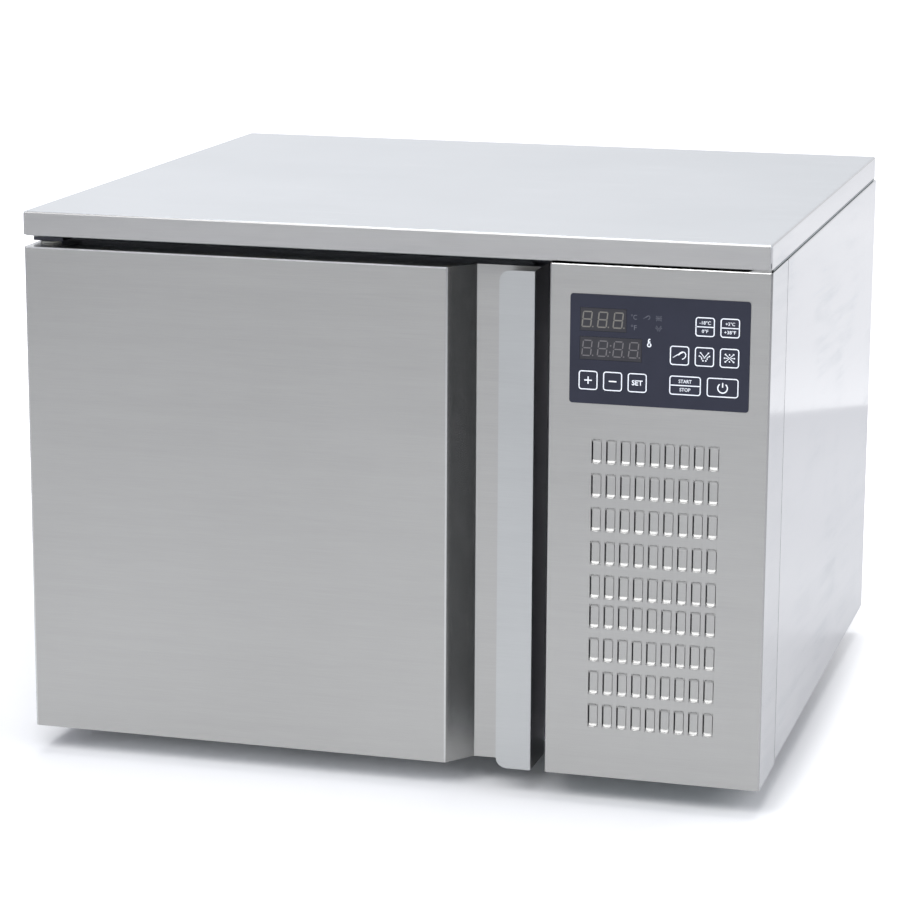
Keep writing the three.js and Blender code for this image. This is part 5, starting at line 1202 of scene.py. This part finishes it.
@dataclass
class Keypad:
    """Membrane keypad: printed film, ten keys, two windows and the board behind."""

    ink: float = 0.02 * MM
    frame_line: float = 0.87 * MM
    frame_inset: float = 0.05 * MM
    dividing_line: float = 0.85 * MM
    corner: float = 2.4 * MM
    weld: float = 0.001 * MM
    windows: tuple[DigitWindow, ...] = (
        DigitWindow("display_upper", 3, 0.8 * MM, Ends.SQUARE, 0),
        DigitWindow("display_lower", 4, 1.0 * MM, Ends.POINTED, 1, line=0.9 * MM, colon_after=2),
    )
    icons: tuple[tuple[Symbol, float, float, float], ...] = (  # symbol, x and z in the frame, and scale
        (Symbol(words=(("°C", 4.6, 4.1, 0.0, 0.0),)), 208.6, 414.2, 1.0),
        (Symbol(words=(("°F", 4.6, 4.1, 0.0, 0.0),)), 208.6, 405.7, 1.0),
        (PROBE, 219.0, 414.2, 0.52),
        (SNOWFLAKE, 228.9, 414.0, 0.56),
        (FALLING_DROPS, 228.9, 405.8, 0.56),
    )

    def dress(self) -> None:
        """Finishes the CAD nodes of the keypad."""
        dress(PolyesterFilm("printed_polyester_film", "#2E303C", "#2B2D38"), "control_overlay")
        dress(PolyesterFilm("embossed_polyester_key", "#2F313D", "#2C2E39", 0.4), *KEY_SYMBOLS)
        dress(PolyesterFilm("tinted_window_film", "#39393D", "#353539", 0.3),
              "display_upper", "display_lower")
        dress(GlassFibreBoard("glass_fibre_board", "#1F5C3B", "#184A30"), "control_board")

    def build_digits(self) -> None:
        """Unlit digit segments that show through the tinted windows."""
        body = Body("display_segments")
        for window in self.windows:
            window.draw(body, self.ink)
        body.finish("cabinet", "display_lens", ScreenInk("unlit_led_upper", "#706E69", "#676560"),
                    ScreenInk("unlit_led_lower", "#676568", "#5E5C5F"))

    def build_prints(self) -> None:
        """Printed frames and symbols of the keys, each on its own key."""
        white = ScreenInk("white_screen_ink", "#F2F6FC", "#E3E8F0")
        for name, symbol in sorted(KEY_SYMBOLS.items()):
            low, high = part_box(name)
            width, height = high.x - low.x, high.z - low.z
            place = ((low.x + high.x) / 2, low.y, (low.z + high.z) / 2)
            body = Body(f"{name}_print")
            trim = self.frame_line + 2 * self.frame_inset
            frame_path = rounded_rect(width - trim, height - trim, self.corner - self.frame_line / 2)
            self.lay_ink(body, stroke(frame_path, self.frame_line, closed=True), place)
            if symbol.divided:
                reach = (width - self.frame_line) / 2
                self.lay_ink(body, stroke([(-reach, 0.0), (reach, 0.0)], self.dividing_line), place)
            self.print_symbol(body, symbol, place)
            body.finish(name, "key_film", white)

    def build_icons(self) -> None:
        """Indicator icons printed on the film between the windows and the keys."""
        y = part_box("control_overlay")[0].y
        icons = Body("indicator_icons")
        for symbol, x, z, scale in self.icons:
            self.print_symbol(icons, symbol, (x * MM, y, z * MM), scale)
        icons.finish("cabinet", "keypad_film", ScreenInk("grey_screen_ink", "#5E606A", "#555761"))
        lit = Body("thermometer_icon")
        self.print_symbol(lit, THERMOMETER, (221.4 * MM, y, 393.6 * MM))
        lit.finish("cabinet", "keypad_film", ScreenInk("white_indicator_ink", "#EEF2F8", "#DFE4EC"))

    def lay_ink(self, body: Body, outline: Sequence[Point2], place: Point3) -> None:
        """Prints an outline whose (0, 0) is at a place on the surface."""
        body.slab(outline, -SINK, self.ink, Plane.FRONT, place)

    def print_symbol(self, body: Body, symbol: Symbol, place: Point3, scale: float = 1.0) -> None:
        """Prints a symbol.

        Args:
            body: the piece.
            symbol: the symbol.
            place: frame position of its middle on the printed surface.
            scale: its size, as a share of the size on a key.
        """
        size = MM * scale
        for width, path in symbol.lines:
            self.lay_ink(body, stroke([(u * size, v * size) for u, v in path], width * size), place)
        for u, v, radius in symbol.dots:
            self.lay_ink(body, round_dot((u * size, v * size), radius * size), place)
        for outline in symbol.shapes:
            self.lay_ink(body, [(u * size, v * size) for u, v in outline], place)
        for text, width, height, level, weight in symbol.words:
            self.print_word(body, text, (width * size, height * size), level * size, weight, place)

    def print_word(self, body: Body, text: str, size: Point2, level: float, weight: float,
                   place: Point3) -> None:
        """Prints a word in plain capitals or numerals.

        Args:
            body: the piece.
            text: the word.
            size: its width and height.
            level: height of its middle over the place.
            weight: how much its strokes are thickened, as a share of the letters' size.
            place: frame position of (0, 0) on the printed surface.
        """
        curve = bpy.data.curves.new("word", "FONT")
        curve.body, curve.extrude, curve.offset, curve.resolution_u = text, 0.5, weight, 3
        word = add_object("word", curve)
        bpy.context.view_layer.update()
        data = bpy.data.meshes.new_from_object(word.evaluated_get(bpy.context.evaluated_depsgraph_get()))
        bpy.data.objects.remove(word)
        bpy.data.curves.remove(curve)
        low, high = ([pick(v.co[i] for v in data.vertices) for i in (0, 1)] for pick in (min, max))
        for vertex in data.vertices:
            u, v = ((vertex.co[i] - (low[i] + high[i]) / 2) * (size[i] / (high[i] - low[i])) for i in (0, 1))
            raised = self.ink if vertex.co.z > 0 else -SINK
            vertex.co = Plane.FRONT.value @ Vector((u, v + level, raised)) + Vector(place)
        glyphs = bmesh.new()
        glyphs.from_mesh(data)
        bmesh.ops.remove_doubles(glyphs, verts=glyphs.verts, dist=self.weld)
        glyphs.to_mesh(data)
        glyphs.free()
        body.mesh.from_mesh(data)
        bpy.data.meshes.remove(data)


# ---------------------------------------------------------------- studio

@dataclass
class WhitePaper(Finish):
    """White paper that reads as the photograph's white ground.

    glow is the light added where the camera sees it close to the machine; further out it turns full white.
    direct is the light added where metal and glass mirror it, and front is more of it close in front.
    """

    colour: str = "#FAFAFB"
    shade: str = "#F7F8F9"
    roughness: float = 0.9
    glow: float = 0.0
    direct: float = 0.0
    front: float = 0.0
    shade_centre: Point3 = (-0.14, -0.14, 0.0)

    def paint(self) -> None:
        """Lays the paper's grain and the light that rays of each kind see on it."""
        path = self.add("LightPath").node.outputs
        place = self.add("TexCoord").node.outputs["Object"]
        across, ahead, _ = self.add("SeparateXYZ", place).node.outputs
        radius = self.add("VectorMath", place, self.shade_centre, operation="DISTANCE")
        # painted light: the ground the camera sees glows more to the right of the machine, up to 0.45 beyond
        # x = 0.325 m, which lightens its shadow there
        open_ground = self.add("Math", self.add("MapRange", radius, 0.42, 1.0, self.glow, 1.0),
                               self.add("MapRange", across, 0.325, 0.37, 0.0, 0.45))
        near = self.add("Math", self.add("MapRange", ahead, -1.5, -0.5, 0.0, self.front),
                        self.add("MapRange", ahead, -0.3, -0.2, 1.0, 0.0), operation="MULTIPLY")
        bounce = self.add("Math", near, self.add("MapRange", ahead, 1.8, 3.0, self.direct, self.direct + 0.2))
        mirrored = self.add("Math", path["Is Glossy Ray"], path["Is Transmission Ray"], operation="MAXIMUM")
        mirrored = self.add("Math", mirrored, bounce, operation="MULTIPLY")
        strength = self.add("Math", path["Is Camera Ray"], open_ground, mirrored, operation="MULTIPLY_ADD")
        grain = self.add("TexNoise", self.scaled(3.0), 1.0)
        self.surface((grain, self.shade, self.colour), Emission_Color="#FFFFFF", Emission_Strength=strength)


@dataclass
class PaleSky(NodeWork):
    """World of pale daylight: dim where it lights, brighter where it is seen or mirrored.

    What is mirrored fades with height and turns darker from left to right; the camera sees plain white.
    """

    def hang(self) -> None:
        """Makes this the scene's world."""
        world = bpy.data.worlds.new("pale_studio")
        self.begin(world)
        path = self.add("LightPath").node.outputs
        camera = path["Is Camera Ray"]
        seen = self.add("Math", camera, path["Is Glossy Ray"], operation="MAXIMUM")
        seen = self.add("Math", seen, path["Is Transmission Ray"], operation="MAXIMUM")
        across, _, up = self.add("SeparateXYZ", self.add("TexCoord").node.outputs["Generated"]).node.outputs
        fade = self.add("Math", self.add("MapRange", up, 0.17, 0.32, 1.0, 0.79),
                        self.add("MapRange", across, -0.4, -0.12, 1.04, 0.88), operation="MULTIPLY")
        shown = self.add("Math", fade, camera, operation="MAXIMUM")
        strength = self.add("MapRange", seen, 0.0, 1.0, 0.4, shown)
        tint = self.add("Mix", seen, "#F0F3FF", "#FBFCFF", data_type="RGBA")
        self.add("OutputWorld", self.add("Background", tint, strength))
        bpy.context.scene.world = world


@dataclass(frozen=True)
class Softbox:
    """A soft lamp that faces the middle of the machine."""

    name: str
    place: Point3
    size: Point2
    watts: float
    colour: str = "#FFFFFF"
    target: Point3 = (0.0, 0.0, 0.25)

    def hang(self) -> None:
        """Adds the lamp, which the camera doesn't see."""
        data = bpy.data.lights.new(self.name, "AREA")
        data.shape, data.energy, data.color = "RECTANGLE", self.watts, linear(self.colour)[:3]
        data.size, data.size_y = self.size
        lamp = add_object(self.name, data)
        lamp.location = self.place
        lamp.rotation_euler = (Vector(self.target) - Vector(self.place)).to_track_quat("-Z", "Y").to_euler()
        lamp.visible_camera = False


@dataclass
class Studio:
    """Camera, table, background and soft lamps."""

    eye: Point3 = (0.72024, -2.68188, 0.85087)
    azimuth: float = math.radians(15.5325)
    elevation: float = math.radians(12.6285)
    roll: float = math.radians(0.2648)
    lens_mm: float = 123.58
    sensor_mm: float = 36.0
    reach: float = 14.0
    table_end: float = 1.78
    table_slant: float = -0.79
    lamps: tuple[Softbox, ...] = (
        Softbox("overhead_softbox", (0.0, 0.2, 2.6), (1.8, 1.6), 36.0),
        Softbox("high_front_softbox", (-0.2, -2.3, 2.2), (2.4, 1.2), 46.0),
        Softbox("left_softbox", (-2.6, -1.6, 1.6), (1.6, 1.6), 17.0, "#FAFBFF"),
        Softbox("right_softbox", (2.2, -1.9, 1.7), (1.6, 1.6), 22.0, "#FAFBFF"),
    )

    def place_camera(self) -> None:
        """Sets the camera to the photograph's viewpoint."""
        a, e = self.azimuth, self.elevation
        back = Vector((math.sin(a) * math.cos(e), -math.cos(a) * math.cos(e), math.sin(e)))
        right = Vector((0, 0, 1)).cross(back).normalized()
        turned = Matrix.Rotation(self.roll, 3, back)
        rotation = Matrix((turned @ right, turned @ back.cross(right), back)).transposed().to_4x4()
        data = bpy.data.cameras.new("studio_camera")
        data.lens, data.sensor_width, data.clip_end = self.lens_mm, self.sensor_mm, 60.0
        camera = add_object("studio_camera", data)
        camera.matrix_world = Matrix.Translation(self.eye) @ rotation
        bpy.context.scene.camera = camera

    def lay_sheet(self, name: str, near: Point2, far: Point2, paper: WhitePaper) -> None:
        """Lays a sheet of paper, as wide as the studio.

        Args:
            name: its name.
            near: y of its near edge at the left and right.
            far: y of its far edge at the left and right.
            paper: its finish.
        """
        x = self.reach
        data = bpy.data.meshes.new(name)
        corners = [(-x, near[0], 0), (x, near[1], 0), (x, far[1], 0), (-x, far[0], 0)]
        data.from_pydata(corners, [], [range(4)])
        data.materials.append(paper.make())
        add_object(name, data)

    def set_up(self) -> None:
        """Prepares the camera, the table, the brighter background sheet beyond it and the lights."""
        self.place_camera()
        slant = self.table_slant * self.reach
        edge = (self.table_end - slant, self.table_end + slant)
        self.lay_sheet("table", (-self.reach, -self.reach), edge,
                       WhitePaper("table_paper", glow=0.015, front=0.3))
        self.lay_sheet("background_sheet", edge, (self.reach, self.reach),
                       WhitePaper("background_sheet_paper", glow=0.95, direct=0.3))
        PaleSky().hang()
        for lamp in self.lamps:
            lamp.hang()
        bpy.context.scene.view_settings.view_transform = "Standard"


# ---------------------------------------------------------------- the whole machine

def main() -> None:
    """Builds and dresses the machine."""
    Studio().set_up()
    cabinet = Cabinet()
    cabinet.dress()
    LouvredPanel().build()
    cabinet.build_mullion_cover()
    cabinet.build_vent_shade_sheet()
    cabinet.build_rear_screws()
    door = Door()
    door.dress()
    door.build_gasket()
    Chamber().dress()
    CondensingUnit().dress()
    keypad = Keypad()
    keypad.dress()
    keypad.build_digits()
    keypad.build_prints()
    keypad.build_icons()
    bpy.context.view_layer.update()


if __name__ == "__main__":
    main()
